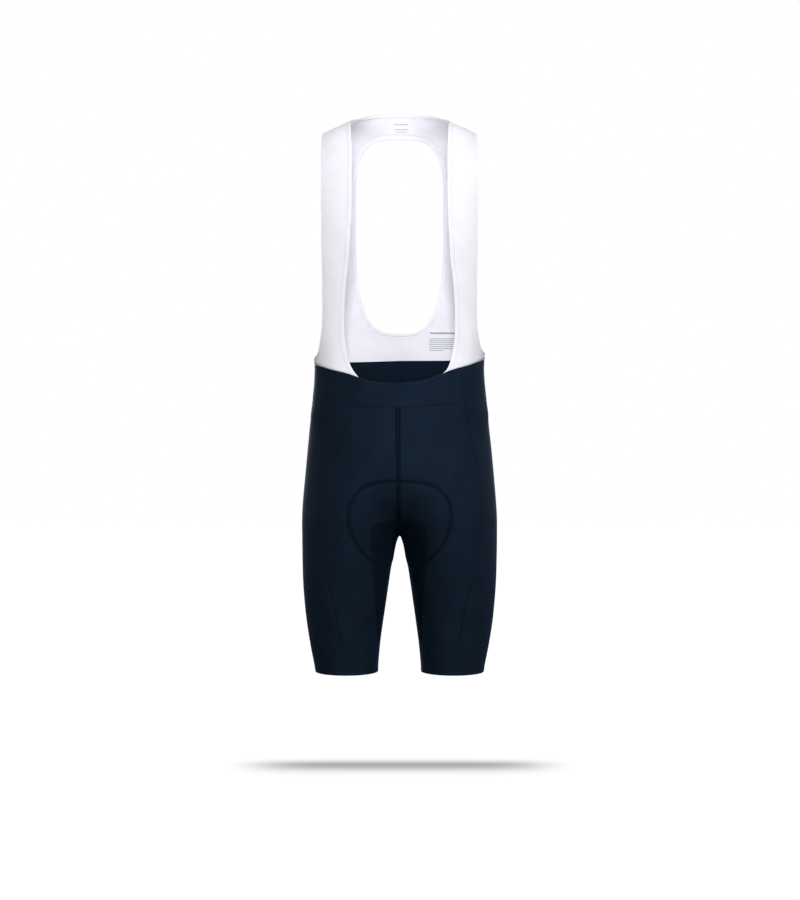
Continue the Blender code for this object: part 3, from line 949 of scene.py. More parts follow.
@dataclass(frozen=True)
class Border:
    """How one side of a cut piece is finished, as a whole or point by point along it.

    Attributes:
        hemmed: Share that is turned under.
        sewn: Share that is sunk in a seam.
        width: Width of its hem.
        line: How much more painted shade the needle line's groove along the hem gets.
    """

    hemmed: float | Array = 0.0
    sewn: float | Array = 0.0
    width: float = 7.0
    line: float = 0.15

    def stretches(self, count: int) -> list[tuple[int, int]]:
        """Stretches of the border that are turned under.

        Args:
            count: Number of points along it.

        Returns:
            For each stretch, the numbers of its first point and of the first one after it.
        """
        free = np.r_[0, np.broadcast_to(np.asarray(self.hemmed) > 0.5, count), 0].astype(int)
        change = np.nonzero(np.diff(free))[0]
        return list(zip(change[::2], change[1::2]))


SEWN, SOFT, HEM, PLAIN = Border(sewn=1.0), Border(sewn=0.4), Border(hemmed=1.0), Border()


def turn_under(rows: Array, normals: Array, width: float) -> Array:
    """Cloth that turns under an edge and lies back against the inside.

    Args:
        rows: Rows of points from the edge inwards.
        normals: Outward normals at them.
        width: How far the turned cloth reaches back.

    Returns:
        Rows of points, the edge itself first.
    """
    out = rows[0] - rows[1]
    out = out / np.linalg.norm(out, axis=-1, keepdims=True)
    along = travel(rows[0])
    closed = np.linalg.norm(rows[0][0] - rows[0][-1]) < EDGES.closed
    full = 1.0 if closed else ease(np.minimum(along, along[-1] - along), 0, EDGES.pinch)
    opened = (EDGES.fold - EDGES.least_fold) * full * np.ones(len(along))
    fold = (EDGES.least_fold + opened)[:, None]
    turns = [rows[0] + fold * (math.sin(t) * out - (1 - math.cos(t)) * normals[0])
             for t in np.linspace(0, math.pi, EDGES.fold_points)]
    reach = np.linalg.norm(rows - rows[0], axis=-1).mean(-1)
    back = [row - 2 * fold * normal
            for row, normal, far in zip(rows[1:], normals[1:], reach[1:]) if far <= width]
    return np.stack(turns + back)


def link_object(name: str, data: ID) -> Object:
    """Put a mesh, a light or a camera in the scene.

    Args:
        name: The object's name.
        data: What it shows.

    Returns:
        The object, at the origin.
    """
    made = bpy.data.objects.new(name, data)
    bpy.context.scene.collection.objects.link(made)
    return made


def thicken(sheet: Object, wall: float) -> None:
    """Give a sheet its thickness, all of it on the inner side.

    Args:
        sheet: The sheet.
        wall: The thickness.
    """
    layer = sheet.modifiers.new("Wall", "SOLIDIFY")
    layer.thickness = wall * MM
    layer.offset = -1


@dataclass
class Shell:
    """One cut piece: grids of points that share one mesh.

    Attributes:
        name: Name of the piece and of the solid it stands for.
        slot: The record's material slot; not used.
        material: Its finish.
        wall: Thickness of the cloth.
        weld: Distance within which points of its grids become one.
        points, faces, uvs, tones: What its grids have added so far.
        count: Number of its points so far.
    """

    name: str
    slot: str
    material: Material
    wall: float
    weld: float = 0.002
    points: list = field(default_factory=list)
    faces: list = field(default_factory=list)
    uvs: list = field(default_factory=list)
    tones: list = field(default_factory=list)
    count: int = 0

    def add(self, grid: Array, uv: Array, tone: Array, normals: Array) -> None:
        """Add a grid of points, its faces turned to the outer side of its first row.

        Args:
            grid: Points, rows by columns.
            uv: Place of each point in the cloth, in metres.
            tone: Tone of each point: lighter on hems, painted shade in sunk seams, needle lines and
                the pad's band.
            normals: Outward normals along the first row.
        """
        rows, columns = grid.shape[:2]
        index = self.count + np.arange(rows * columns).reshape(rows, columns)
        quads = np.stack([index[:-1, :-1], index[:-1, 1:], index[1:, 1:], index[1:, :-1]], -1)
        middle = columns // 2
        across = grid[0, middle + 1] - grid[0, middle]
        down = grid[1, middle] - grid[0, middle]
        if np.dot(np.cross(across, down), normals[middle]) < 0:
            quads = quads[..., ::-1]
        self.points.append(grid.reshape(-1, 3))
        self.faces.append(quads.reshape(-1, 4))
        self.uvs.append(uv.reshape(-1, 2))
        self.tones.append(tone.ravel())
        self.count += rows * columns

    def finish(self, laid_on: bool = False) -> Object:
        """Weld the grids, give the wall its thickness and fit the piece to the frame.

        Args:
            laid_on: Whether it lies on another piece and stands for no solid.

        Returns:
            The piece.
        """
        points = np.concatenate(self.points) * MM
        faces = np.concatenate(self.faces)
        mesh = bpy.data.meshes.new(self.name)
        mesh.from_pydata(points.tolist(), [], faces.tolist())
        tone = mesh.attributes.new("tone", "FLOAT", "POINT")
        tone.data.foreach_set("value", np.concatenate(self.tones).astype(np.float32))
        layer = mesh.uv_layers.new(name="cloth")
        corners = np.concatenate(self.uvs)[faces.ravel()]
        layer.data.foreach_set("uv", corners.astype(np.float32).ravel())
        work = bmesh.new()
        work.from_mesh(mesh)
        bmesh.ops.remove_doubles(work, verts=work.verts, dist=self.weld * MM)
        work.to_mesh(mesh)
        work.free()
        mesh.materials.append(self.material)
        mesh.shade_smooth()
        piece = link_object(self.name if laid_on else self.name + "_cloth", mesh)
        thicken(piece, self.wall)
        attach(piece, ROOT)
        if not laid_on:
            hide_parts(self.name)
        return piece


def arc_grid(grid: Array) -> Array:
    """Measure where each point of a grid lies in the cloth.

    Args:
        grid: Points, rows by columns.

    Returns:
        Distance along its row and mean distance down to that row, in metres.
    """
    across = np.linalg.norm(np.diff(grid, axis=1), axis=-1)
    down = np.linalg.norm(np.diff(grid, axis=0), axis=-1)
    u = np.concatenate([np.zeros((len(grid), 1)), np.cumsum(across, 1)], 1)
    v = np.concatenate([np.zeros((1, grid.shape[1])), np.cumsum(down, 0)], 0)
    return np.stack([u, v.mean(1, keepdims=True) + 0 * u], -1) * MM


class Side(Enum):
    """Sides of a panel, each with the name of the field that says how it is finished."""

    TOP = "top"
    BOTTOM = "bottom"
    FIRST = "first"
    LAST = "last"

    def view(self, values: Array) -> Array:
        """View of a grid's values with this side as its first row."""
        values = np.swapaxes(values, 0, 1) if self in (Side.FIRST, Side.LAST) else values
        return values[::-1] if self in (Side.BOTTOM, Side.LAST) else values


@dataclass
class Panel:
    """A grid of cloth with finished sides, laid on the form.

    Attributes:
        grid: Points on the form, rows by columns.
        top, bottom, first, last: How each side is finished.
        places: Place of each point in the cloth, where it isn't measured along the grid.
    """

    grid: Array
    top: Border = SEWN
    bottom: Border = SEWN
    first: Border = SEWN
    last: Border = SEWN
    places: Array | None = None

    def lay(self, shell: Shell) -> None:
        """Lift the cloth by its relief and edges, turn its hems and add it to a shell.

        Args:
            shell: The piece that it is part of.
        """
        uv = arc_grid(self.grid) if self.places is None else self.places
        normals = FORM.outward(self.grid)
        lift, tone = RELIEF.height(self.grid)
        for side in Side:
            self._shape(getattr(self, side.value), *map(side.view, (self.grid, lift, tone)))
        lifted = self.grid + lift[..., None] * normals
        shell.add(lifted, uv, tone, normals[0])
        for side in Side:
            self._turn(getattr(self, side.value), shell,
                       *map(side.view, (lifted, normals, uv, tone)))

    @staticmethod
    def _shape(border: Border, rows: Array, lift: Array, tone: Array) -> None:
        """Raise the cloth along one side, lighten its hem and paint shade into its sunk seam and
        needle line, in place.

        Args:
            border: How the side is finished.
            rows: Rows of points from the side inwards.
            lift, tone: Lift and tone at them, which it changes.
        """
        reach = np.linalg.norm(np.diff(rows, axis=0), axis=-1).cumsum(0)
        reach = np.concatenate([np.zeros((1, reach.shape[1])), reach])
        raised = border.hemmed * (1 - ease(reach, border.width - EDGES.step, border.width))
        lift += EDGES.hem_rise * raised - EDGES.sink * border.sewn * bell(reach, EDGES.sink_width)
        tone += EDGES.hem_tone * raised
        # painted shade where a sewn edge sinks, and in the needle line's groove where a hem's second
        # layer ends
        tone -= EDGES.seam_tone * border.sewn * bell(reach, EDGES.seam_shade)
        needle = border.hemmed * bell(reach - border.width, EDGES.line_shade)
        tone -= (EDGES.hem_tone + border.line) * needle

    @staticmethod
    def _turn(border: Border, shell: Shell, rows: Array, normals: Array,
              places: Array, tone: Array) -> None:
        """Add the cloth that is turned under along one side.

        Args:
            border: How the side is finished.
            shell: The piece that it is part of.
            rows: Rows of lifted points from the side inwards.
            normals, places, tone: Normals, places in the cloth and tones at them.
        """
        for start, end in border.stretches(rows.shape[1]):
            hem = turn_under(rows[:, start:end], normals[:, start:end], border.width)
            edge = places[:2, start:end]
            out = edge[0] - edge[1]
            out = out / np.linalg.norm(out, axis=-1, keepdims=True)
            far = np.linalg.norm(np.diff(hem, axis=0), axis=-1).mean(-1).cumsum()
            far = np.r_[0, far][:, None, None] * MM
            tones = np.broadcast_to(tone[0, start:end], hem.shape[:2])
            shell.add(hem, edge[0] + far * out, tones, normals[0, start:end])


def sew(shell: Shell, *panels: Panel) -> Object:
    """Lay panels into one piece.

    Args:
        shell: The piece, with nothing in it yet.
        panels: Its panels.

    Returns:
        The piece.
    """
    for panel in panels:
        panel.lay(shell)
    return shell.finish()


# --- Finishes


def srgb(code: str) -> tuple[float, float, float, float]:
    """Turn an sRGB hex colour to linear values.

    Args:
        code: The colour, as in "#FFFFFF".

    Returns:
        Red, green, blue and an alpha of 1.
    """
    levels = [int(code[start:start + 2], 16) / 255 for start in (1, 3, 5)]
    linear = [v / 12.92 if v <= 0.04045 else ((v + 0.055) / 1.055) ** 2.4 for v in levels]
    return (*linear, 1.0)


def add_node(tree: NodeTree, kind: str, inputs: dict | None = None, **settings: object) -> Node:
    """Add a node with its settings and links.

    Args:
        tree: The tree that takes it.
        kind: The node's type.
        inputs: For each socket's name or number, a value or the output that feeds it.
        settings: The node's own properties.

    Returns:
        The node.
    """
    node = tree.nodes.new(kind)
    for name, value in settings.items():
        setattr(node, name, value)
    for key, value in (inputs or {}).items():
        if isinstance(value, NodeSocket):
            tree.links.new(value, node.inputs[key])
        else:
            node.inputs[key].default_value = value
    return node


def maths(tree: NodeTree, operation: str, *values: float | NodeSocket,
          clamp: bool = False) -> NodeSocket:
    """Result of one sum on values or sockets, kept between 0 and 1 where clamp says so."""
    return add_node(tree, "ShaderNodeMath", dict(enumerate(values)), operation=operation,
                    use_clamp=clamp).outputs[0]


def new_material(name: str) -> tuple[Material, NodeTree, Node]:
    """Make a material that has only a Principled shader.

    Args:
        name: Its name.

    Returns:
        The material, its tree and that shader.
    """
    material = bpy.data.materials.new(name)
    material.use_nodes = True
    tree = material.node_tree
    return material, tree, tree.nodes["Principled BSDF"]


@dataclass(frozen=True)
class KnitFinish:
    """A warp-knitted cloth: fine wales, a faint mottle, lighter doubled hems and painted shade in
    sunk seams.

    Attributes:
        name: Name of the material.
        colour: Base colour.
        dark: Colour of the mottle's dark places and of the stitch gaps, and of the painted shade in
            sunk seams.
        light: Colour of doubled hems.
        wale: Spacing of the knit's wales.
        course: Spacing of its courses.
        relief: Height of its stitches.
        roughness: Roughness of the yarn.
        specular: Level of the mirror-like share.
        sheen: Weight of the fuzz's glow.
        sheen_colour: Colour of that glow.
        holes: How far the gaps between stitches darken, for an open mesh.
        mottle: How far the dye varies.
        glance: Tint of the mirror-like share.
        spread: Roughness of the smoothest and the roughest fibres, past the yarn's.
        seam_glance: Share of the mirror-like share that is left in sunk seams.
    """

    name: str
    colour: str
    dark: str
    light: str
    wale: float
    course: float
    relief: float
    roughness: float
    specular: float
    sheen: float
    sheen_colour: str
    holes: float
    mottle: float
    glance: str = "#FFFFFF"
    spread: tuple = (-0.05, 0.07)
    seam_glance: float = 0.3

    def build(self) -> Material:
        """Make the material.

        Returns:
            The material.
        """
        material, tree, shader = new_material(self.name)
        place = add_node(tree, "ShaderNodeUVMap", uv_map="cloth").outputs[0]
        scale = (1 / (self.wale * MM), 1 / (self.course * MM), 1)
        counted = add_node(tree, "ShaderNodeMapping", {"Vector": place, "Scale": scale})
        across, down, _ = add_node(tree, "ShaderNodeSeparateXYZ", {0: counted.outputs[0]}).outputs
        # a stitch's leg climbs half a course over half a wale
        leaning = maths(tree, "PINGPONG", across, 1.0)
        climb = maths(tree, "MULTIPLY_ADD", leaning, 0.5, down)
        wales, courses = self._wave(tree, across, 0.0), self._wave(tree, climb, 0.25)
        stitch = maths(tree, "MULTIPLY", wales, courses)
        body = add_node(tree, "ShaderNodeTexCoord").outputs["Object"]
        mottle = add_node(tree, "ShaderNodeTexNoise",
                          {"Vector": body, "Scale": 34.0, "Detail": 3.0}).outputs["Fac"]
        fibre = add_node(tree, "ShaderNodeTexNoise",
                         {"Vector": body, "Scale": 900.0, "Detail": 2.0}).outputs["Fac"]
        # the tone below zero is painted shade in sunk seams, needle lines and the pad's band; above
        # zero it lightens doubled hems
        tone = add_node(tree, "ShaderNodeAttribute", attribute_name="tone").outputs["Fac"]
        sunk = maths(tree, "MULTIPLY", tone, -1.0, clamp=True)
        raised = maths(tree, "MULTIPLY", tone, 1.0, clamp=True)
        uneven = self._range(tree, mottle, (0.35, 0.65), (0.0, self.mottle))
        dyed = self._mix(tree, uneven, srgb(self.colour), srgb(self.dark))
        hemmed = self._mix(tree, raised, dyed, srgb(self.light))
        seamed = self._mix(tree, sunk, hemmed, srgb(self.dark))
        # worn: the stitch gaps darken the colour that already holds the painted seam shade
        gaps = self._range(tree, stitch, (0.0, 0.55), (self.holes, 0.0))
        worn = self._mix(tree, gaps, seamed, srgb(self.dark))
        tree.links.new(worn, shader.inputs["Base Color"])
        height = maths(tree, "MULTIPLY_ADD", fibre, 0.5, stitch)
        bump = add_node(tree, "ShaderNodeBump", {"Height": height, "Strength": 0.45,
                                                 "Distance": self.relief * MM})
        tree.links.new(bump.outputs[0], shader.inputs["Normal"])
        smooth, coarse = (self.roughness + more for more in self.spread)
        rough = self._range(tree, fibre, (0.2, 0.8), (smooth, coarse))
        tree.links.new(rough, shader.inputs["Roughness"])
        glance = self._range(tree, sunk, (0.0, 1.0),
                             (self.specular, self.specular * self.seam_glance))
        tree.links.new(glance, shader.inputs["Specular IOR Level"])
        shader.inputs["Specular Tint"].default_value = srgb(self.glance)
        shader.inputs["Sheen Weight"].default_value = self.sheen
        shader.inputs["Sheen Roughness"].default_value = 0.45
        shader.inputs["Sheen Tint"].default_value = srgb(self.sheen_colour)
        return material

    @staticmethod
    def _wave(tree: NodeTree, value: NodeSocket, start: float) -> NodeSocket:
        """A wave from 0 to 1 with a crest for each whole number, start of a wave early."""
        turned = maths(tree, "MULTIPLY_ADD", value, math.tau, start * math.tau)
        return maths(tree, "MULTIPLY_ADD", maths(tree, "COSINE", turned), 0.5, 0.5)

    @staticmethod
    def _range(tree: NodeTree, value: NodeSocket, given: tuple, wanted: tuple) -> NodeSocket:
        """Bring a value from one range to another.

        Args:
            tree: The tree that takes its node.
            value: The value.
            given: The range that it has.
            wanted: The range that it gets.

        Returns:
            The new value's socket.
        """
        ends = {"From Min": given[0], "From Max": given[1], "To Min": wanted[0],
                "To Max": wanted[1]}
        return add_node(tree, "ShaderNodeMapRange", {"Value": value, **ends}).outputs["Result"]

    @staticmethod
    def _mix(tree: NodeTree, share: object, one: object, other: object) -> NodeSocket:
        """One colour turning to another by a share."""
        return add_node(tree, "ShaderNodeMix", {0: share, 6: one, 7: other},
                        data_type="RGBA").outputs[2]


@dataclass(frozen=True)
class PlainFinish:
    """A thread, print or foam skin: one colour with a fine grain.

    Attributes:
        name: Name of the material.
        colour: Base colour.
        dark: Colour of its grain's low places.
        grain: Size of the grain.
        relief: Height of the grain.
        roughness: Roughness.
        specular: Level of the mirror-like share.
    """

    name: str
    colour: str
    dark: str
    grain: float
    relief: float
    roughness: float
    specular: float

    def build(self) -> Material:
        """Make the material.

        Returns:
            The material.
        """
        material, tree, shader = new_material(self.name)
        body = add_node(tree, "ShaderNodeTexCoord")
        grain = add_node(tree, "ShaderNodeTexNoise", {"Vector": body.outputs["Object"],
                                                      "Scale": 1 / (self.grain * MM),
                                                      "Detail": 2.0})
        shade = add_node(tree, "ShaderNodeMix", {0: grain.outputs["Fac"], 6: srgb(self.colour),
                                                 7: srgb(self.dark)}, data_type="RGBA")
        tree.links.new(shade.outputs[2], shader.inputs["Base Color"])
        bump = add_node(tree, "ShaderNodeBump", {"Height": grain.outputs["Fac"], "Strength": 0.5,
                                                 "Distance": self.relief * MM})
        tree.links.new(bump.outputs[0], shader.inputs["Normal"])
        shader.inputs["Roughness"].default_value = self.roughness
        shader.inputs["Specular IOR Level"].default_value = self.specular
        return material


@dataclass(frozen=True)
class PaperFinish:
    """Studio paper for the floor: white to the camera but for a soft oblong painted shadow.

    Attributes:
        name: Name of the material.
        colour: Colour that it bounces onto the garment.
        depth: How dark the painted shadow's middle is.
        reach: Half the painted shadow's length, and how far it fades towards the front and the back.
        middle: Depth in y of its darkest line.
    """

    name: str
    colour: str
    depth: float
    reach: tuple
    middle: float

    def build(self) -> Material:
        """Make the material.

        Returns:
            The material.
        """
        material, tree, shader = new_material(self.name)
        body = add_node(tree, "ShaderNodeTexCoord")
        x, y, _ = add_node(tree, "ShaderNodeSeparateXYZ", {0: body.outputs["Object"]}).outputs
        half, front, back = self.reach
        across = self._scaled(tree, x, 0.0, half)
        along = maths(tree, "MAXIMUM", self._scaled(tree, y, self.middle, -front),
                      self._scaled(tree, y, self.middle, back))
        # the painted shadow ends abruptly at its two tips and fades softly along its sides
        total = maths(tree, "ADD", maths(tree, "POWER", across, 6.0),
                      maths(tree, "POWER", along, 2.0))
        fade = maths(tree, "POWER", 1 / math.e, total)
        # painted shadow: the white glow that the camera sees drops by the shadow's depth under the
        # garment
        glow = maths(tree, "MULTIPLY_ADD", fade, -self.depth, 1.02)
        white = add_node(tree, "ShaderNodeEmission", {0: srgb("#FFFFFF"), 1: glow})
        shader.inputs["Base Color"].default_value = srgb(self.colour)
        shader.inputs["Roughness"].default_value = 0.9
        shader.inputs["Specular IOR Level"].default_value = 0.0
        seen = add_node(tree, "ShaderNodeLightPath")
        both = add_node(tree, "ShaderNodeMixShader", {0: seen.outputs["Is Camera Ray"],
                                                      1: shader.outputs[0], 2: white.outputs[0]})
        tree.links.new(both.outputs[0], tree.nodes["Material Output"].inputs[0])
        return material

    @staticmethod
    def _scaled(tree: NodeTree, value: NodeSocket, start: float, reach: float) -> NodeSocket:
        """Distance from start in units of a reach; a reach below zero counts the other way."""
        return maths(tree, "DIVIDE", maths(tree, "SUBTRACT", value, start * MM), reach * MM)


# Polyamide and elastane, warp knitted and calendered: smooth and dark, with a low even sheen.
# Its real wales, 0.35 mm apart, are drawn wider so that they show
NAVY_KNIT = KnitFinish(
    name="navy_polyamide_warp_knit", colour="#0F1822", dark="#06090D", light="#121C28",
    wale=0.9, course=0.8, relief=0.10, roughness=0.62, specular=0.15, glance="#6C9FDC",
    sheen=0.14, sheen_colour="#2C5C94", holes=0.25, mottle=0.30)
# The same yarns for the inner leg, darker and matt, with almost no sheen
GUSSET_KNIT = replace(NAVY_KNIT, name="navy_dark_matt_inner_leg_knit", colour="#0B121A", roughness=0.8,
                      specular=0.06, sheen=0.06)
# Polyester micro-mesh, warp knitted with small open eyes: matt, bright and a little lavender
WHITE_MESH = KnitFinish(
    name="white_polyester_micro_mesh", colour="#F3F2F9", dark="#C6C5D0", light="#F6F5FC",
    wale=1.5, course=1.3, relief=0.16, roughness=0.74, specular=0.20, sheen=0.06,
    sheen_colour="#FFFFFF", holes=0.18, mottle=0.12)
# A lighter and more open mesh for the back; its colour, a little darker than the straps', is painted
# shade for the inside of the back that shows between them
BACK_MESH = replace(WHITE_MESH, name="white_open_back_mesh", colour="#EEEDF5", holes=0.24)
# Woven polyamide tape over the centre seam: denser and darker than the knit
NAVY_TAPE = KnitFinish(
    name="navy_woven_polyamide_tape", colour="#0B1219", dark="#05080C", light="#0C141D",
    wale=1.1, course=0.7, relief=0.12, roughness=0.60, specular=0.10, glance="#5F9FE0",
    sheen=0.0, sheen_colour="#3C5068", holes=0.30, mottle=0.20)
# Brushed microfibre bonded over foam
PAD_SKIN = PlainFinish(
    name="blue_brushed_microfibre", colour="#2C4566", dark="#203450", grain=0.6, relief=0.10,
    roughness=0.88, specular=0.2)
# Textured polyester thread
NAVY_THREAD = PlainFinish(
    name="navy_polyester_thread", colour="#0F1822", dark="#0A1018", grain=0.25, relief=0.05,
    roughness=0.6, specular=0.2)
WHITE_THREAD = replace(NAVY_THREAD, name="white_polyester_thread", colour="#F2F2F8",
                       dark="#D6D6E0", specular=0.25)
# Soft ink pressed onto the cloth with heat
GREY_TRANSFER = PlainFinish(
    name="grey_transfer_ink", colour="#A6A6B2", dark="#9696A4", grain=0.5, relief=0.02,
    roughness=0.5, specular=0.3)
# Seamless white background paper, with a faint long shadow painted under the garment
FLOOR_PAPER = PaperFinish(name="white_background_paper", colour="#303030", depth=0.6,
                          reach=(245.0, 58.0, 36.0), middle=4.0)


# --- Pieces


@dataclass(frozen=True)
class Cut:
    """Flat size of a piece before it is sewn and worn.

    Attributes:
        width: Widest place across the knit.
        length: Longest place along it.
        share: Share of that rectangle that the piece fills.
    """

    width: float
    length: float
    share: float

    def declare(self, piece: Object, with_pieces: tuple = ()) -> None:
        """Take a piece and what lies on it; nothing is done with them."""


class CutPieces:
    """What the shorts, the bands and the bib share: pieces that are cut flat."""

    cuts: dict[str, Cut]

    def declare(self, made: dict[str, Object], extras: dict[str, tuple]) -> None:
        """Hand each piece, with what lies on it, to the cut of its kind.

        Args:
            made: The pieces by name.
            extras: What lies on a piece, by that piece's name.
        """
        for name, piece in made.items():
            kind = name.removesuffix("_left").removesuffix("_right")
            self.cuts[kind].declare(piece, extras.get(name, ()))


@dataclass
class Shorts(CutPieces):
    """Fronts, sides, backs and the gusset of the shorts.

    Attributes:
        finish: Their knit.
        inner_leg: The gusset's knit.
        wall: Thickness of the cloth.
        columns: Cells across a front, a side and a back.
        gusset_columns: Cells from the gusset's front seam to its back seam.
        cuts: Flat size of each kind of piece.
    """

    finish: Material
    inner_leg: Material
    wall: float = 0.8
    columns: dict = field(default_factory=lambda: {"front": 64, "side": 40, "back": 64})
    gusset_columns: int = 56
    cuts: dict = field(default_factory=lambda: {
        "front": Cut(150, 411, 0.62), "side": Cut(174, 409, 0.93), "back": Cut(162, 442, 0.59),
        "gusset": Cut(196, 408, 0.60)})

    def build(self) -> dict[str, Object]:
        """Build every piece.

        Returns:
            The pieces by name.
        """
        gusset_front = SEAMS.gusset(GUSSET_FRONT_SEAM, FRONT)
        gusset_back = SEAMS.gusset(GUSSET_BACK_SEAM, BACK)
        front_inner = np.concatenate([SEAMS.centre(0, gusset_front[0][2], FRONT), gusset_front[1:]])
        back_inner = np.concatenate([SEAMS.centre(180, gusset_back[0][2], BACK), gusset_back[1:]])
        starts = {"front": (0.0, SEAMS.front_angle), "side": (SEAMS.front_angle, SEAMS.back_angle),
                  "back": (180.0, SEAMS.back_angle)}
        made = {}
        for name, side in SIDES:
            front_outer = SEAMS.side(SIDE_FRONT_SEAM, FRONT, side)
            back_outer = SEAMS.side(SIDE_BACK_SEAM, BACK, side)
            edges = {"front": (front_inner, front_outer), "side": (front_outer, back_outer),
                     "back": (back_inner, back_outer)}
            for kind, (first, last) in edges.items():
                shares = graded(self.columns[kind])
                start, end = starts[kind]
                top = waist_points(start + (end - start) * shares, 2, side)
                bottom = SEAMS.cuff(first[-1], last[-1], shares)
                grid = patch(top, bottom, first, last) * (side, 1, 1)
                shell = Shell(f"{kind}_{name}", "navy_knit", self.finish, self.wall)
                made[shell.name] = sew(shell, Panel(grid, SOFT, SOFT))
        leg = self._gusset_leg(gusset_front, gusset_back)
        shell = Shell("gusset", "navy_knit", self.inner_leg, self.wall)
        made["gusset"] = sew(shell, Panel(leg, PLAIN, SOFT), Panel(leg * MIRROR, PLAIN, SOFT))
        return made

    def _gusset_leg(self, front: Array, back: Array) -> Array:
        """Lay out one leg's half of the gusset.

        Args:
            front, back: Its seams from the crotch down.

        Returns:
            Rows of points from the crotch down to the cuff, front to back.
        """
        crotch = FORM.crotch()
        heights = crotch[2] + (CUFF_SEAM - crotch[2]) * row_shares(2, ("crotch", "leg"))
        _, inner, _, fore, aft, _, _ = FORM.sections(heights)
        middle = FORM.settle(np.stack([inner, (fore + aft) / 2, heights], -1))
        middle[0] = crotch
        pull = (2 * middle - (front + back) / 2)[:, None]
        shares = graded(self.gusset_columns)
        share = shares[None, :, None]
        leg = FORM.settle((1 - share) ** 2 * front[:, None] + 2 * share * (1 - share) * pull
                          + share**2 * back[:, None])
        leg[:, 0], leg[:, -1] = front, back
        leg[-1] = SEAMS.cuff(front[-1], back[-1], shares)
        return leg


@dataclass
class Bands(CutPieces):
    """Waistband and leg grippers: level strips of the same knit.

    Attributes:
        finish: Their knit.
        wall: Thickness of the cloth.
        rows: Cells from a band's top to its bottom.
        columns: Cells along half the waist, and round a leg.
        fold: Their free edges, folded with no stitch that shows.
        corner: Angle on either side of a strap's corner in which the fold turns to a seam.
        cuts: Flat size of each kind of piece.
    """

    finish: Material
    wall: float = 0.8
    rows: int = 24
    columns: tuple = (150, 150)
    fold: Border = Border(hemmed=1.0, width=6.0, line=0.0)
    corner: float = 3
    cuts: dict = field(default_factory=lambda: {
        "waistband_front": Cut(350, 64, 0.91), "waistband_back": Cut(350, 61, 0.98),
        "gripper": Cut(358, 58, 1.0)})

    def build(self) -> dict[str, Object]:
        """Build both halves of the waistband and both grippers.

        Returns:
            The pieces by name.
        """
        made = {"waistband_front": self._front(), "waistband_back": self._back()}
        angles = np.linspace(0, 360, self.columns[1] + 1)
        heights = CUFF_SEAM + (HEM_EDGE - CUFF_SEAM) * graded(self.rows)
        ring = np.array([[FORM.around_leg(a, z) for a in angles] for z in heights])
        for name, side in SIDES:
            cuff = Panel(ring * (side, 1, 1), SOFT, self.fold, PLAIN, PLAIN)
            made[f"gripper_{name}"] = sew(self._shell(f"gripper_{name}"), cuff)
        return made

    def _shell(self, name: str) -> Shell:
        """A piece of the bands' knit with nothing in it yet."""
        return Shell(name, "navy_knit", self.finish, self.wall)

    def _front(self) -> Object:
        """Sew the waistband's front, its top folded between the straps and sewn under them.

        Returns:
            The piece.
        """
        angles = SIDE_SEAM_ANGLE * (2 * graded(self.columns[0]) - 1)
        past = np.where(angles > 0, angles - STRAP_CORNER_ANGLE[1],
                        -angles - STRAP_CORNER_ANGLE[-1])
        free = 1 - ease(past, -self.corner, self.corner)
        top = replace(self.fold, hemmed=free, sewn=SOFT.sewn * (1 - free))
        return sew(self._shell("waistband_front"), Panel(self._strip(angles), top, SOFT))

    def _back(self) -> Object:
        """Back of the waistband, sewn to the bib all along its top."""
        angles = SIDE_SEAM_ANGLE + (360 - 2 * SIDE_SEAM_ANGLE) * graded(self.columns[0])
        return sew(self._shell("waistband_back"), Panel(self._strip(angles), SOFT, SOFT))

    def _strip(self, angles: Array) -> Array:
        """Lay out part of the waistband.

        Args:
            angles: Angles round from the front.

        Returns:
            Rows of points from its top edge down to its lower seam.
        """
        top, bottom = waist_points(angles, 1), waist_points(angles, 2)
        share = graded(self.rows)[:, None, None]
        return FORM.settle((1 - share) * top + share * bottom)


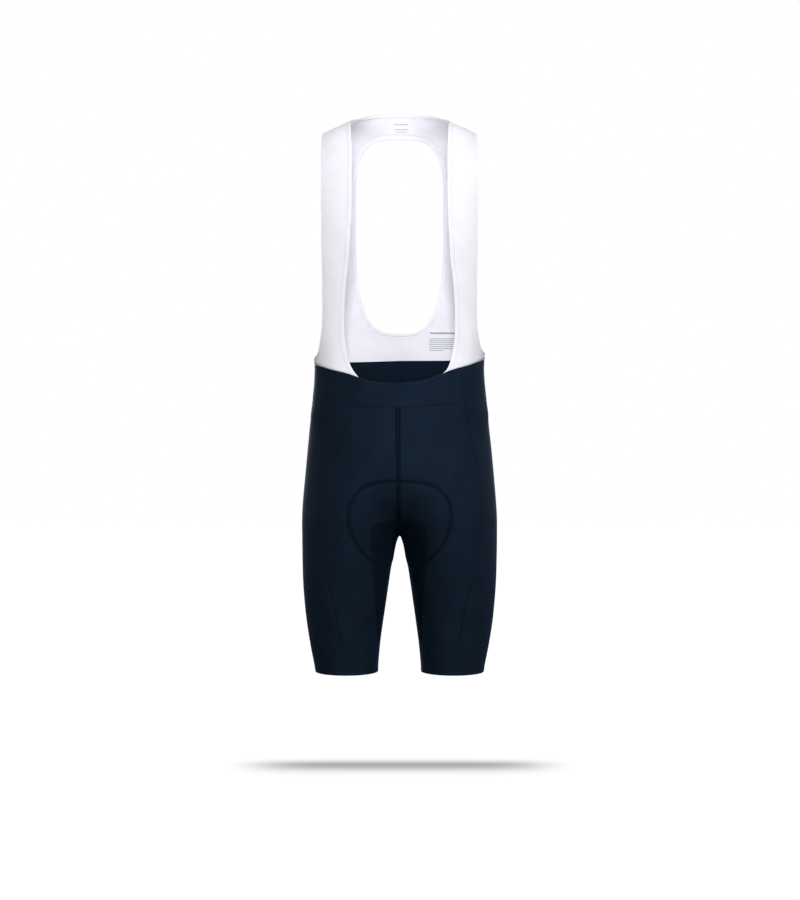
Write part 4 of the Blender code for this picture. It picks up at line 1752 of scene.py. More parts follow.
@dataclass
class Bib(CutPieces):
    """White bib: a strap on each side and the back with its oval opening.

    Attributes:
        finish: The straps' mesh.
        back_finish: The back's mesh.
        wall: Thickness of the cloth.
        strap_rows, strap_columns: Cells down and across a strap.
        rings: Cells from the oval opening out to the edge.
        waist_cells, nape_cells, tab_rows: Cells along the back's other edges.
        nape_hem: How far the nape's hem stands out beside the others.
        oval_hem: How the oval's edge is finished.
        cuts: Flat size of each kind of piece.
    """

    finish: Material
    back_finish: Material
    wall: float = 0.8
    strap_rows: int = 170
    strap_columns: int = 36
    rings: int = 40
    waist_cells: int = 90
    nape_cells: int = 26
    tab_rows: int = 24
    nape_hem: float = 0.55
    oval_hem: Border = Border(hemmed=1.0, width=8.5)
    cuts: dict = field(default_factory=lambda: {
        "strap": Cut(108, 480, 0.55), "upper_back": Cut(345, 430, 0.51)})

    def build(self) -> dict[str, Object]:
        """Build both straps and the back.

        Returns:
            The pieces by name.
        """
        made = {}
        across, down = graded(self.strap_columns), graded(self.strap_rows)
        for name, side in SIDES:
            corner = STRAP_CORNER_ANGLE[side]
            bottom = waist_points(corner + (SIDE_SEAM_ANGLE - corner) * across, 1, side)
            inner, outer = SEAMS.strap_inner(side, down), self._armhole(FRONT, side, down)
            grid = patch(SEAMS.shoulder(across), bottom, inner, outer) * (side, 1, 1)
            shell = Shell(f"strap_{name}", "white_mesh", self.finish, self.wall)
            made[shell.name] = sew(shell, Panel(grid, bottom=PLAIN, first=HEM, last=HEM))
        made["upper_back"] = self._back(across, down)
        return made

    @staticmethod
    def _armhole(facing: int, side: int, shares: Array) -> Array:
        """Lay out an armhole's edge with the side seam's short rise below it.

        Args:
            facing: Whether it is the front or the back edge.
            side: Which armhole it is.
            shares: Where the edge's points lie; the last one is the rise's foot.

        Returns:
            Its points.
        """
        edge = SEAMS.armhole(facing, side, shares[:-1] / shares[-2])
        foot = waist_points(np.array([SIDE_SEAM_ANGLE]), 1, side)
        return np.concatenate([edge, foot])

    def _back(self, across: Array, down: Array) -> Object:
        """Sew the back: rings round its oval opening, and a tab under each armhole.

        Args:
            across, down: Shares at which points lie on the shoulder seams and the armholes.

        Returns:
            The piece.
        """
        nape = SEAMS.nape(graded(self.nape_cells, 0.25, 1.0))
        outlines, finishes, tabs = [], [], []
        for _, side in SIDES:
            armhole = self._armhole(BACK, side, down)
            root = int(np.nonzero(armhole[:, 2] < TAB_TOP)[0][0])
            tab = self._tab(armhole[root:], side)
            runs = [nape[::-1], SEAMS.shoulder(across)[1:], armhole[1:root + 1], tab[1:, 0]]
            outlines.append(np.concatenate(runs) * (side, 1, 1))
            tabs.append(tab * (side, 1, 1))
            joint = travel(tab[:, 0])
            sizes = [len(run) for run in runs[:3]]
            under_arm = 1 - ease(joint[1:], HEM.width - EDGES.step, HEM.width)
            hemmed = np.r_[np.repeat((self.nape_hem, 0.0, 1.0), sizes), under_arm]
            sewn = np.r_[np.repeat((0.0, 1.0, 0.0), sizes), 0 * under_arm]
            finishes.append(np.stack([hemmed, sewn], -1))
        left, right = outlines
        starts = 360 - angle_of(right[-1]), angle_of(left[-1])
        waist = waist_points(np.linspace(*starts, self.waist_cells + 1), 1)
        outline = np.concatenate([left[::-1], right[1:-1], waist])
        hemmed, sewn = np.concatenate([finishes[0][::-1], finishes[1][1:-1],
                                       np.zeros((len(waist), 2))]).T
        oval = np.array([SEAMS.oval(place) for place in outline])
        share = graded(self.rings)[:, None, None]
        rings = FORM.settle((1 - share) * oval + share * outline)
        rings[-1] = outline
        places = rings[..., [0, 2]] * MM
        border = replace(HEM, hemmed=hemmed, sewn=sewn)
        shell = Shell("upper_back", "white_mesh", self.back_finish, self.wall)
        return sew(shell, Panel(rings, self.oval_hem, border, PLAIN, PLAIN, places),
                   *(Panel(tab, top=HEM, bottom=PLAIN, first=PLAIN) for tab in tabs))

    def _tab(self, armhole: Array, side: int) -> Array:
        """Lay out the part that runs forward under an armhole to the side seam.

        Args:
            armhole: The armhole's edge from the tab's root to its foot.
            side: Which armhole it is.

        Returns:
            Rows of points from the armhole down to the waistband.
        """
        angle = angle_of(armhole[0])
        cells = len(armhole) - 2
        bottom = waist_points(np.linspace(angle, SIDE_SEAM_ANGLE, cells + 1), 1, side)
        shares = graded(self.tab_rows)
        heights = armhole[0][2] + (bottom[0][2] - armhole[0][2]) * shares
        first = np.array([FORM.around_waist(angle, z) for z in heights])
        share = shares[:, None]
        last = FORM.settle((1 - share) * armhole[-2] + share * armhole[-1])
        return patch(armhole[:-1], bottom, first, last)


@dataclass
class ChamoisPad:
    """Foam pad inside the crotch, skinned in microfibre, with sewn channels.

    Attributes:
        finish: Its skin.
        clearance: Gap to the outside of the cloth.
        edge, middle: Thickness at its edges and in its middle.
        channel_depth, channel_width: Sizes of its channels.
        channels: Shares of its width at which they run.
        channel_start, channel_end: Shares of its length between which they fade in and out.
        flatness: How far its full thickness reaches towards its sides, and towards its tips.
        bulge: How far its rim stands out, over the edges' thickness.
        spine_places: Places on the middle line from each tip to the crotch.
        rows, columns: Cells along and across it.
    """

    finish: Material
    clearance: float = 3.2
    edge: float = 2.5
    middle: float = 8.0
    channel_depth: float = 2.2
    channel_width: float = 0.035
    channels: tuple = (0.30, 0.44, 0.56, 0.70)
    channel_start: tuple = (0.08, 0.18)
    channel_end: tuple = (0.82, 0.92)
    flatness: tuple = (3, 6)
    bulge: float = 0.35
    spine_places: int = 7
    rows: int = 110
    columns: int = 72

    def build(self) -> Object:
        """Build the pad as one closed form.

        Returns:
            The pad.
        """
        edge = [FORM.at(x, z, side) if side else (x, 0, z) for x, z, side in PAD_OUTLINE]
        down = graded(self.rows, END_CELL, END_CELL)
        side_line = smooth_line(edge[1:-1], down)
        fore, aft = (np.linspace(PAD_OUTLINE[tip][1], CROTCH_TURN, self.spine_places)
                     for tip in (0, -1))
        spine = [FORM.at(0, z, FRONT) for z in fore] + [FORM.crotch()]
        spine = smooth_line(spine + [FORM.at(0, z, BACK) for z in aft[::-1]], down)
        pull = (2 * spine - (side_line + side_line * MIRROR) / 2)[:, None]
        shares = graded(self.columns, END_CELL, END_CELL)
        share = shares[None, :, None]
        grid = ((1 - share) ** 2 * side_line[:, None] + 2 * share * (1 - share) * pull
                + share**2 * side_line[:, None] * MIRROR)
        outer = FORM.settle(grid, self.clearance)
        normals = FORM.outward(outer)
        across = 1 - np.abs(2 * shares - 1) ** self.flatness[0]
        along = 1 - np.abs(2 * down - 1) ** self.flatness[1]
        crown = np.outer(along, across)
        thick = self.edge + (self.middle - self.edge) * crown
        grooves = sum(bell(shares - place, self.channel_width) for place in self.channels)
        ends = ease(down, *self.channel_start) * (1 - ease(down, *self.channel_end))
        thick -= self.channel_depth * crown * np.outer(ends, np.minimum(grooves, 1))
        inner = outer - thick[..., None] * normals
        return self._close(outer, inner, self._rim(outer, inner))

    def _rim(self, outer: Array, inner: Array) -> Array:
        """Bulge the pad's edge outwards, half way up.

        Args:
            outer, inner: Points on its two faces.

        Returns:
            Points half way between them, those along the edges moved out.
        """
        middle = (outer + inner) / 2
        bulged = middle.copy()
        for edge, next_in in ((0, 1), (-1, -2)):
            bulged[edge] += self._out(middle[edge], middle[next_in])
            bulged[:, edge] += self._out(middle[:, edge], middle[:, next_in])
        return bulged

    def _out(self, edge: Array, inside: Array) -> Array:
        """A short step out of the pad past its edge."""
        way = edge - inside
        return way / np.linalg.norm(way, axis=-1, keepdims=True) * self.edge * self.bulge

    def _close(self, outer: Array, inner: Array, rim: Array) -> Object:
        """Join both faces along the rim and fit the pad to the frame.

        Args:
            outer, inner: Points on its two faces.
            rim: Points between them, of which the outermost are used.

        Returns:
            The pad.
        """
        rows, columns = outer.shape[:2]
        index = np.arange(rows * columns).reshape(rows, columns)
        ring = np.r_[index[0], index[1:, -1], index[-1, -2::-1], index[-2:0:-1, 0]]
        count = rows * columns
        rim_index = 2 * count + np.arange(len(ring))
        points = np.concatenate([outer.reshape(-1, 3), inner.reshape(-1, 3),
                                 rim.reshape(-1, 3)[ring]]) * MM
        quads = np.stack([index[:-1, :-1], index[:-1, 1:], index[1:, 1:], index[1:, :-1]], -1)
        quads = quads.reshape(-1, 4)
        sides = [np.stack([ring, np.roll(ring, -1), np.roll(rim_index, -1), rim_index], -1),
                 np.stack([rim_index, np.roll(rim_index, -1), np.roll(ring, -1) + count,
                           ring + count], -1)]
        faces = np.concatenate([quads[:, ::-1], quads + count, *sides])
        mesh = bpy.data.meshes.new("chamois_pad")
        mesh.from_pydata(points.tolist(), [], faces.tolist())
        work = bmesh.new()
        work.from_mesh(mesh)
        bmesh.ops.recalc_face_normals(work, faces=work.faces)
        work.to_mesh(mesh)
        work.free()
        mesh.materials.append(self.finish)
        mesh.shade_smooth()
        pad = link_object("chamois_pad_foam", mesh)
        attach(pad, ROOT)
        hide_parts("chamois_pad")
        return pad


@dataclass
class CentreTape:
    """Woven tape sewn over the centre-front seam, narrower towards the gusset.

    Attributes:
        finish: Its weave.
        top, low: Its edges in x at the waistband and from the pad's line down.
        taper: Height at which it is down to its lower width.
        gap: Distance from the waistband's seam to its top.
        foot: Height at which it ends.
        rise, edge: How far its middle and its long edges lie above the form.
        wall: Its thickness.
        rows, columns: Cells along and across it.
    """

    finish: Material
    top: tuple = (-7.8, 0.3)
    low: tuple = (-5.4, 0.9)
    taper: float = -590.0
    gap: float = 0.4
    foot: float = -664.0
    rise: float = 0.75
    edge: float = 0.25
    wall: float = 0.4
    rows: int = 120
    columns: int = 8

    def build(self) -> Object:
        """Lay the tape over the cloth, its long edges pressed down.

        Returns:
            The tape.
        """
        start = waist_height(0, 2) - self.gap
        heights = np.linspace(start, self.foot, self.rows + 1)
        ends = [np.interp(heights, (self.taper, start), (low, top))
                for low, top in zip(self.low, self.top)]
        rows = np.array([[FORM.at(x, z, FRONT) for x in np.linspace(left, right, self.columns + 1)]
                         for z, left, right in zip(heights, *ends)])
        normals = FORM.outward(rows)
        lift, _ = RELIEF.height(rows)
        across = np.linspace(-1, 1, self.columns + 1)
        crown = self.edge + (self.rise - self.edge) * (1 - across**4)
        lifted = rows + (lift + crown)[..., None] * normals
        tape = Shell("centre_tape", "navy_knit", self.finish, self.wall)
        tape.add(lifted, arc_grid(lifted), np.zeros(rows.shape[:2]), normals[0])
        return tape.finish(laid_on=True)


@dataclass(frozen=True)
class Bar:
    """One plain bar of a mark.

    Attributes:
        left, right: Its ends in x.
        middle: Height of its middle line, carried on to x = 0.
        tall: How tall it is.
    """

    left: float
    right: float
    middle: float
    tall: float


@dataclass
class PlainMarks:
    """Plain bars pressed inside the back: a size mark at the nape and a block lower down.

    Attributes:
        ink: Their finish.
        nape: The size mark's bars.
        heading: The block's first bar.
        first: The next one's place, under which the others follow.
        lengths, pitch: Their lengths, and the distance from one to the next.
        fall: How far the block's drop for each millimetre out from the middle.
        wall: Thickness of the cloth that they lie on.
        gap, thick: Gap to that cloth, and thickness of the ink.
        cell: Length of the cells along a bar.
    """

    ink: Material
    nape: tuple = (Bar(-10, 14, 19.0, 1.2), Bar(-8, 14, 10.9, 0.9), Bar(-7, 12, 7.0, 0.7))
    heading: Bar = Bar(53, 101, -343.2, 3.0)
    first: Bar = Bar(52, 98, -353.0, 1.3)
    lengths: tuple = (46, 47, 44, 47, 46, 45, 24)
    pitch: float = 3.4
    fall: float = 0.028
    wall: float = 0.8
    gap: float = 0.12
    thick: float = 0.1
    cell: float = 3

    def build(self) -> list[Object]:
        """Build both marks.

        Returns:
            The size mark and the block.
        """
        left, top = self.first.left, self.first.middle
        block = [replace(self.first, right=left + length, middle=top - number * self.pitch)
                 for number, length in enumerate(self.lengths)]
        return [self._bars("nape_mark", self.nape, 0.0),
                self._bars("care_mark", (self.heading, *block), self.fall)]

    def _bars(self, name: str, bars: tuple, fall: float) -> Object:
        """Press bars inside the back.

        Args:
            name: Name of the mark.
            bars: Its bars.
            fall: How far they drop for each millimetre out from the middle.

        Returns:
            The mark.
        """
        points, faces = [], []
        for bar in bars:
            cells = max(4, int((bar.right - bar.left) / self.cell))
            xs = np.linspace(bar.left, bar.right, cells + 1)
            grid = np.array([[FORM.at(x, z - fall * x, BACK) for x in xs]
                             for z in (bar.middle + bar.tall / 2, bar.middle - bar.tall / 2)])
            lift, _ = RELIEF.height(grid)
            grid = grid + (lift - self.wall - self.gap)[..., None] * FORM.outward(grid)
            index = len(points) + np.arange(2 * (cells + 1)).reshape(2, -1)
            points.extend(grid.reshape(-1, 3) * MM)
            faces.extend(np.stack([index[0, :-1], index[1, :-1], index[1, 1:], index[0, 1:]],
                                  -1).tolist())
        mesh = bpy.data.meshes.new(name)
        mesh.from_pydata(points, [], faces)
        mesh.materials.append(self.ink)
        if mesh.polygons[0].normal.y > 0:
            mesh.flip_normals()
        mark = link_object(name, mesh)
        thicken(mark, self.thick)
        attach(mark, ROOT)
        return mark


# --- Stitches


@dataclass(frozen=True)
class StitchSizes:
    """Sizes of one kind of stitching.

    Attributes:
        pitch: Distance from stitch to stitch.
        gap: Distance between its two needle rows.
        dash: Length of a needle stitch.
        thread: Thickness of the thread.
        cover: Whether threads cross from row to row.
        rise: How far its middle line lies above the cloth's relief.
        needle, crossing: Width and height of a needle thread and of one that crosses, over the
            thread's thickness.
    """

    pitch: float
    gap: float
    dash: float
    thread: float
    cover: bool
    rise: float
    needle: tuple = (1.0, 0.7)
    crossing: tuple = (0.9, 0.6)


class Stitch(Enum):
    """Kinds of stitching on the garment."""

    FLATLOCK = StitchSizes(pitch=2.6, gap=4.0, dash=2.1, thread=0.45, cover=True, rise=-0.30)
    TWIN = StitchSizes(pitch=2.9, gap=3.0, dash=2.1, thread=0.42, cover=False,
                       rise=EDGES.hem_rise + 0.02)


class StitchTree:
    """Geometry nodes that lay one kind of stitch along lines that carry the cloth's normal."""

    def __init__(self, kind: Stitch) -> None:
        """Build the tree with named inputs for its sizes.

        Args:
            kind: The kind of stitch.
        """
        self.sizes = kind.value
        self.tree = bpy.data.node_groups.new(f"{kind.name.lower()}_stitches", "GeometryNodeTree")
        self.sockets: dict[str, str] = {}
        tree = self.tree
        tree.interface.new_socket("Geometry", in_out="OUTPUT", socket_type="NodeSocketGeometry")
        tree.interface.new_socket("Geometry", in_out="INPUT", socket_type="NodeSocketGeometry")
        for name, kind_of in (("Pitch", "Float"), ("Row Gap", "Vector"), ("Needle", "Vector"),
                              ("Cover", "Vector"), ("Cover Turn", "Vector"),
                              ("Thread", "Material")):
            made = tree.interface.new_socket(name, in_out="INPUT",
                                             socket_type=f"NodeSocket{kind_of}")
            self.sockets[name] = made.identifier
        given = add_node(tree, "NodeGroupInput").outputs
        path = add_node(tree, "GeometryNodeMeshToCurve", {0: given["Geometry"]})
        paced = add_node(tree, "GeometryNodeResampleCurve",
                         {"Curve": path.outputs[0], "Length": given["Pitch"]}, mode="LENGTH")
        out = add_node(tree, "GeometryNodeInputNamedAttribute", {"Name": "out"},
                       data_type="FLOAT_VECTOR")
        along = add_node(tree, "GeometryNodeInputTangent")
        stance = add_node(tree, "FunctionNodeAxesToRotation",
                          {0: out.outputs[0], 1: along.outputs[0]},
                          primary_axis="Z", secondary_axis="X")
        bead = add_node(tree, "GeometryNodeMeshIcoSphere", {"Radius": 0.5, "Subdivisions": 1})
        soft = add_node(tree, "GeometryNodeSetShadeSmooth", {0: bead.outputs[0]}).outputs[0]
        other = add_node(tree, "ShaderNodeVectorMath", {0: given["Row Gap"], 1: (-1, -1, -1)},
                         operation="MULTIPLY")
        threads = [add_node(tree, "GeometryNodeTransform",
                            {"Geometry": soft, "Translation": shift, "Scale": given["Needle"]})
                   for shift in (given["Row Gap"], other.outputs[0])]
        if self.sizes.cover:
            threads.append(add_node(tree, "GeometryNodeTransform",
                                    {"Geometry": soft, "Rotation": given["Cover Turn"],
                                     "Scale": given["Cover"]}))
        one = add_node(tree, "GeometryNodeJoinGeometry")
        for thread in threads:
            tree.links.new(thread.outputs[0], one.inputs[0])
        laid = add_node(tree, "GeometryNodeInstanceOnPoints",
                        {"Points": paced.outputs[0], "Instance": one.outputs[0],
                         "Rotation": stance.outputs[0]})
        real = add_node(tree, "GeometryNodeRealizeInstances", {0: laid.outputs[0]})
        dressed = add_node(tree, "GeometryNodeSetMaterial",
                           {"Geometry": real.outputs[0], "Material": given["Thread"]})
        add_node(tree, "NodeGroupOutput", {0: dressed.outputs[0]})

    def sew(self, name: str, lines: list[Array], slot: str, thread: Material) -> Object:
        """Lay stitches along lines on the form.

        Args:
            name: Name of the piece.
            lines: Runs of points on the form.
            slot: The record's material slot; not used.
            thread: The thread's finish.

        Returns:
            The stitches as one plain mesh.
        """
        points, ways, edges, start = [], [], [], 0
        for line in lines:
            lift, _ = RELIEF.height(line)
            normals = FORM.outward(line)
            points.append((line + (lift + self.sizes.rise)[:, None] * normals) * MM)
            ways.append(normals)
            edges += [(start + n, start + n + 1) for n in range(len(line) - 1)]
            start += len(line)
        mesh = bpy.data.meshes.new(name)
        mesh.from_pydata(np.concatenate(points).tolist(), edges, [])
        out = mesh.attributes.new("out", "FLOAT_VECTOR", "POINT")
        out.data.foreach_set("vector", np.concatenate(ways).astype(np.float32).ravel())
        path = link_object(name + "_path", mesh)
        modifier = path.modifiers.new("Stitches", "NODES")
        modifier.node_group = self.tree
        sizes = self.sizes
        reach = math.hypot(sizes.gap, sizes.pitch)
        values = {
            "Pitch": sizes.pitch * MM,
            "Row Gap": (0.0, sizes.gap / 2 * MM, 0.0),
            "Needle": (sizes.dash * MM, *(sizes.thread * share * MM for share in sizes.needle)),
            "Cover": (reach * MM, *(sizes.thread * share * MM for share in sizes.crossing)),
            "Cover Turn": (0.0, 0.0, math.atan2(sizes.gap, sizes.pitch)),
            "Thread": thread,
        }
        for socket, value in values.items():
            modifier[self.sockets[socket]] = value
        bpy.context.view_layer.update()
        graph = bpy.context.evaluated_depsgraph_get()
        sewn = bpy.data.meshes.new_from_object(path.evaluated_get(graph))
        bpy.data.objects.remove(path)
        stitches = link_object(name, sewn)
        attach(stitches, ROOT)
        return stitches


@dataclass
class Stitching:
    """All the thread on the garment.

    Attributes:
        navy: Thread of the shorts.
        white: Thread of the bib.
        hem_row: Distance of the hems' needle rows from their edges.
        oval_row: The same at the oval.
        seam_row: Distance of the needle rows from the waistband's top seam.
        corner_gap: Angle between a strap's corner and the start of those rows.
        shoulder_ends: Shares of the shoulder seam between which it is stitched.
        side_end: Distance from the waistband's edges to the ends of its side stitches.
        turn, half_turn: Points round the waist or the oval, and round a leg.
        row, points, nape: Points along the waist's rows, an edge of the bib, and half the nape.
        short: Points along a waistband's side seam and a shoulder seam.
    """

    navy: Material
    white: Material
    hem_row: float = 4.6
    oval_row: float = 6.1
    seam_row: float = 3.2
    corner_gap: float = 6.5
    shoulder_ends: tuple = (0.03, 0.97)
    side_end: float = 1
    turn: int = 361
    half_turn: int = 181
    row: int = 301
    points: int = 200
    nape: int = 60
    short: tuple = (25, 31)

    def build(self) -> list[Object]:
        """Sew every seam and hem.

        Returns:
            The thread of each group of seams.
        """
        flat, twin = StitchTree(Stitch.FLATLOCK), StitchTree(Stitch.TWIN)
        return [
            flat.sew("shorts_flatlock", self._shorts(), "navy_knit", self.navy),
            flat.sew("band_flatlock", self._bands(), "navy_knit", self.navy),
            flat.sew("shoulder_flatlock", self._shoulders(), "white_mesh", self.white),
            twin.sew("bib_hem_stitches", self._hems(), "white_mesh", self.white),
            twin.sew("bib_waist_stitches", self._waist_rows(), "white_mesh", self.white),
            twin.sew("pad_outline_stitches", self._outline(), "navy_knit", self.navy),
        ]

    @staticmethod
    def _shorts() -> list[Array]:
        """Lay out the side, gusset and centre-back seams; the tape covers the centre front.

        Returns:
            Lines of points.
        """
        gusset = [SEAMS.gusset(GUSSET_FRONT_SEAM, FRONT), SEAMS.gusset(GUSSET_BACK_SEAM, BACK)]
        lines = [line * (side, 1, 1) for line in gusset for _, side in SIDES]
        lines += [SEAMS.side(table, facing, side) * (side, 1, 1) for _, side in SIDES
                  for table, facing in ((SIDE_FRONT_SEAM, FRONT), (SIDE_BACK_SEAM, BACK))]
        return lines + [SEAMS.centre(180, gusset[1][0][2], BACK)]

    def _bands(self) -> list[Array]:
        """Lay out the waistband's lower seam and side seams, and the gripper seams.

        Returns:
            Lines of points.
        """
        waist = waist_points(np.linspace(-180, 180, self.turn), 2)
        cuff = np.array([FORM.around_leg(a, CUFF_SEAM) for a in np.linspace(0, 360, self.half_turn)])
        lines = [waist, cuff, cuff * MIRROR]
        for _, side in SIDES:
            angle = side * SIDE_SEAM_ANGLE
            top, low = waist_height(angle, 1), waist_height(angle, 2)
            heights = np.linspace(top - self.side_end, low + self.side_end, self.short[0])
            lines.append(np.array([FORM.around_waist(angle, z) for z in heights]))
        return lines

    def _shoulders(self) -> list[Array]:
        """Shoulder seams of the bib."""
        shoulder = SEAMS.shoulder(np.linspace(*self.shoulder_ends, self.short[1]))
        return [shoulder, shoulder * MIRROR]

    def _waist_rows(self) -> list[Array]:
        """Lay out the needle rows that hold the bib to the waistband, above the seam.

        Returns:
            One line from strap to strap round the back.
        """
        left, right = (STRAP_CORNER_ANGLE[side] + self.corner_gap for _, side in SIDES)
        angles = np.linspace(left, 360 - right, self.row)
        heights = [waist_height(a, 1) + self.seam_row for a in angles]
        return [np.array([FORM.around_waist(a, z) for a, z in zip(angles, heights)])]

    def _hems(self) -> list[Array]:
        """Lay out the needle rows of the bib's hems, set in from their edges.

        Returns:
            Lines along the necks, the armholes, the nape and the oval.
        """
        shares = np.linspace(0, 1, self.points)
        lines = []
        for _, side in SIDES:
            neck = self._set_in(SEAMS.strap_inner(side, shares))
            foot = [waist_height(side * angle_of(place), 1) + self.seam_row for place in neck]
            armholes = [self._set_in(SEAMS.armhole(facing, side, shares))
                        for facing in (FRONT, BACK)]
            lines += [line * (side, 1, 1) for line in (neck[neck[:, 2] > foot], *armholes)]
        nape = SEAMS.nape(np.linspace(0, 1, self.nape))
        nape = np.concatenate([nape, (nape * MIRROR)[-2::-1]])
        lines.append(self._set_in_down(nape))
        turns = np.linspace(0, math.tau, self.turn)
        oval = np.array([SEAMS.oval((math.cos(t), 0, OVAL_MIDDLE + math.sin(t))) for t in turns])
        out = oval - np.array([0, 0, OVAL_MIDDLE])
        out[:, 1] = 0
        out /= np.linalg.norm(out, axis=1, keepdims=True)
        lines.append(FORM.settle(oval + out * self.oval_row))
        return lines

    def _set_in(self, edge: Array) -> Array:
        """Move an edge across itself on the form, towards the strap's middle in x.

        Args:
            edge: Its points.

        Returns:
            The moved points.
        """
        along = np.gradient(edge, axis=0)
        across = np.cross(along, FORM.outward(edge))
        across /= np.linalg.norm(across, axis=1, keepdims=True)
        middle = (NAPE_END + STRAP_OUTER_EDGE) / 2
        towards = np.sign((middle - edge[:, 0]) * across[:, 0])
        towards[towards == 0] = 1
        facing = np.sign(np.median(towards[: len(towards) // 2]))
        return FORM.settle(edge + across * facing * self.hem_row)

    def _set_in_down(self, edge: Array) -> Array:
        """Move the nape's edge down the back."""
        return FORM.settle(edge - np.array([0, 0, self.hem_row]))

    @staticmethod
    def _outline() -> list[Array]:
        """Rows along the pad's outline on the front and back."""
        foot = sum(RELIEF.imprint.fade) / 2
        return [line[line[:, 2] > foot] for line in RELIEF.outlines.values()]


# --- Studio


class Lit(Enum):
    """Which pieces a light reaches."""

    ALL = "every piece"
    NAVY = "the navy pieces"
    OUTER_NAVY = "the navy pieces but the back of the waistband"
    UPPER_BACK = "the back of the bib"
    STRAPS = "the straps"


@dataclass(frozen=True)
class AreaLight:
    """A soft oblong light.

    Attributes:
        name: Its name.
        place: Where it stands, in metres.
        target: What it faces.
        size: Its width and height.
        power: Its power in watts.
        lit: The pieces that it reaches.
    """

    name: str
    place: tuple
    target: tuple
    size: tuple
    power: float
    lit: Lit = Lit.ALL

    def build(self, receivers: list[Object]) -> None:
        """Add the light.

        Args:
            receivers: The pieces that it reaches, where they aren't all of them.
        """
        data = bpy.data.lights.new(self.name, "AREA")
        data.shape = "RECTANGLE"
        data.size, data.size_y = self.size
        data.energy = self.power
        light = link_object(self.name, data)
        light.location = self.place
        way = Vector(self.target) - Vector(self.place)
        light.rotation_euler = way.to_track_quat("-Z", "Y").to_euler()
        light.visible_camera = False
        if receivers:
            group = bpy.data.collections.new(f"{self.name}_receivers")
            for piece in receivers:
                group.objects.link(piece)
            light.light_linking.receiver_collection = group


# Three lights for the whole garment, two for the sheen of the navy knit and two for the inside
MIDDLE = (0.0, 0.0, -0.5)
LIGHTS = (
    AreaLight("front", (0.0, -2.95, 0.18), MIDDLE, (0.4, 1.0), 64.0),
    AreaLight("key", (1.5, -2.0, 0.75), MIDDLE, (0.8, 0.8), 13.0),
    AreaLight("behind", (0.5, 2.7, 0.4), MIDDLE, (1.4, 1.4), 45.0),
    AreaLight("behind_navy", (-0.9, 2.6, 0.5), MIDDLE, (0.8, 1.2), 60.0, Lit.NAVY),
    AreaLight("sheen", (1.7, -1.9, 0.5), MIDDLE, (0.5, 1.2), 26.0, Lit.OUTER_NAVY),
    AreaLight("under", (-0.16, -0.4, -1.0), (0.0, 0.06, 0.0), (0.5, 0.3), 5.0, Lit.UPPER_BACK),
    AreaLight("inside", (0.0, -0.02, -0.25), (0.0, -0.02, 0.0), (0.12, 0.08), 0.35, Lit.STRAPS),
)


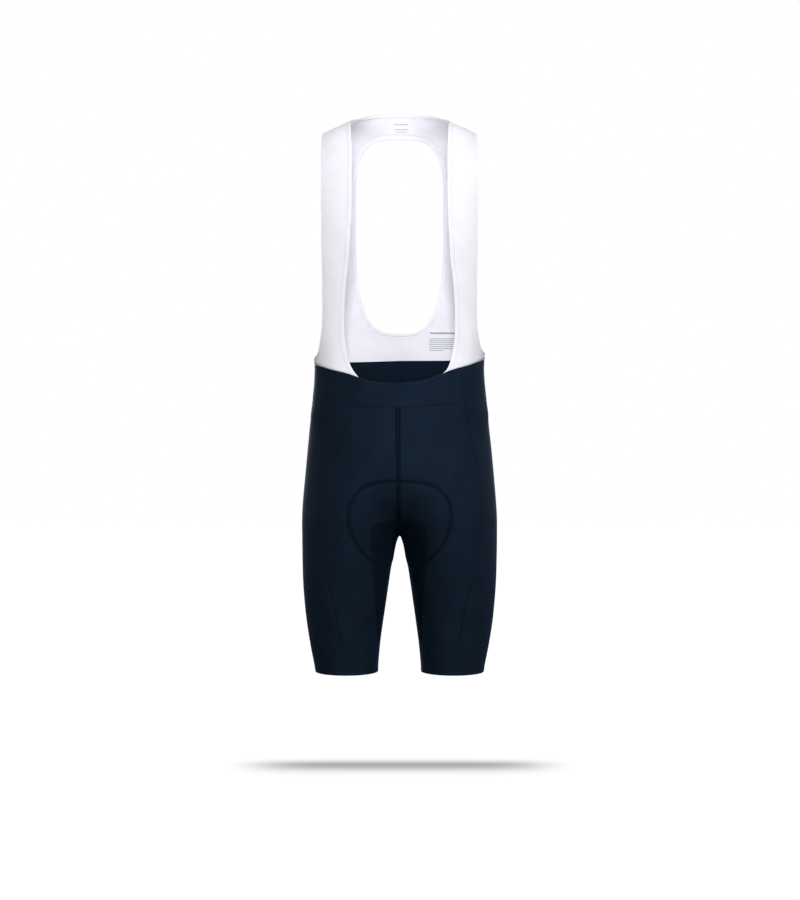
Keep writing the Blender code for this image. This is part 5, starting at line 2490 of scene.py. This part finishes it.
@dataclass
class Studio:
    """Plain pale floor with a painted soft shadow, soft lights and the camera.

    Attributes:
        floor: Height of the floor.
        distance: Camera's distance in front of the origin.
        eye: Camera's height.
        aside: How far it stands to the wearer's left.
        long_side: Height of the picture at the origin's depth.
        sensor: Width of the camera's sensor, its long side.
        background: Brightness of what the camera sees behind the object.
        fill: Brightness of the surrounding light.
        floor_half: Half the floor's width, in metres.
        far: How far the camera sees, in metres.
    """

    floor: float = -1084.5
    distance: float = 2800.0
    eye: float = -549.0
    aside: float = 0.7
    long_side: float = 1530.0
    sensor: float = 36.0
    background: float = 1.0
    fill: float = 0.5
    floor_half: float = 9.0
    far: float = 60

    def build(self, navy: dict[str, Object], white: dict[str, Object]) -> None:
        """Build the floor, the lights and the camera.

        Args:
            navy: The navy pieces by name.
            white: The white pieces by name.
        """
        self._camera()
        self._world()
        self._floor()
        self._lights(navy, white)
        bpy.context.scene.view_settings.view_transform = "Standard"

    def _camera(self) -> None:
        """A level camera in front of the garment."""
        lens = bpy.data.cameras.new("camera")
        lens.sensor_width = self.sensor
        lens.lens = self.sensor * self.distance / self.long_side
        lens.clip_end = self.far
        camera = link_object("camera", lens)
        camera.location = (self.aside * MM, -self.distance * MM, self.eye * MM)
        camera.rotation_euler = (math.pi / 2, 0, 0)
        bpy.context.scene.camera = camera

    def _world(self) -> None:
        """White surroundings, dimmer as a light than as a background."""
        world = bpy.data.worlds.new("studio")
        world.use_nodes = True
        tree = world.node_tree
        tree.nodes.clear()
        seen = add_node(tree, "ShaderNodeLightPath")
        strength = add_node(tree, "ShaderNodeMapRange", {
            "Value": seen.outputs["Is Camera Ray"], "To Min": self.fill, "To Max": self.background})
        light = add_node(tree, "ShaderNodeBackground",
                         {"Color": srgb("#FFFFFF"), "Strength": strength.outputs[0]})
        add_node(tree, "ShaderNodeOutputWorld", {0: light.outputs[0]})
        bpy.context.scene.world = world

    def _floor(self) -> None:
        """A wide pale floor that stays nearly white but for a painted soft shadow under the garment.
        """
        mesh = bpy.data.meshes.new("floor")
        half, height = self.floor_half, self.floor * MM
        corners = [(-half, -half, height), (half, -half, height), (half, half, height),
                   (-half, half, height)]
        mesh.from_pydata(corners, [], [(0, 1, 2, 3)])
        mesh.materials.append(FLOOR_PAPER.build())
        link_object("floor", mesh)

    @staticmethod
    def _lights(navy: dict[str, Object], white: dict[str, Object]) -> None:
        """Add every light with the pieces that it reaches.

        Args:
            navy: The navy pieces by name.
            white: The white pieces by name.
        """
        receivers = {
            Lit.ALL: [],
            Lit.NAVY: list(navy.values()),
            Lit.OUTER_NAVY: [piece for name, piece in navy.items() if name != "waistband_back"],
            Lit.UPPER_BACK: [white["upper_back"]],
            Lit.STRAPS: [white["strap_left"], white["strap_right"]],
        }
        for light in LIGHTS:
            light.build(receivers[light.lit])


def main() -> None:
    """Build the studio and every piece in order."""
    logging.basicConfig(level=logging.INFO, format="%(name)s: %(message)s")
    navy, white = NAVY_KNIT.build(), WHITE_MESH.build()
    shorts = Shorts(navy, GUSSET_KNIT.build())
    bands, bib = Bands(navy), Bib(white, BACK_MESH.build())
    legs, strips, white_pieces = shorts.build(), bands.build(), bib.build()
    navy_pieces = {**legs, **strips}
    pad = ChamoisPad(PAD_SKIN.build()).build()
    tape = CentreTape(NAVY_TAPE.build()).build()
    marks = PlainMarks(GREY_TRANSFER.build()).build()
    sewn = Stitching(NAVY_THREAD.build(), WHITE_THREAD.build()).build()
    lying = {"front_right": (tape,), "upper_back": tuple(marks)}
    for maker, made in ((shorts, legs), (bands, strips), (bib, white_pieces)):
        maker.declare(made, lying)
    Studio().build(navy_pieces, white_pieces)
    for piece in (*navy_pieces.values(), *white_pieces.values(), pad, tape, *marks, *sewn):
        LOG.info("%s: %d faces", piece.name, len(piece.data.polygons))


if __name__ == "__main__":
    main()
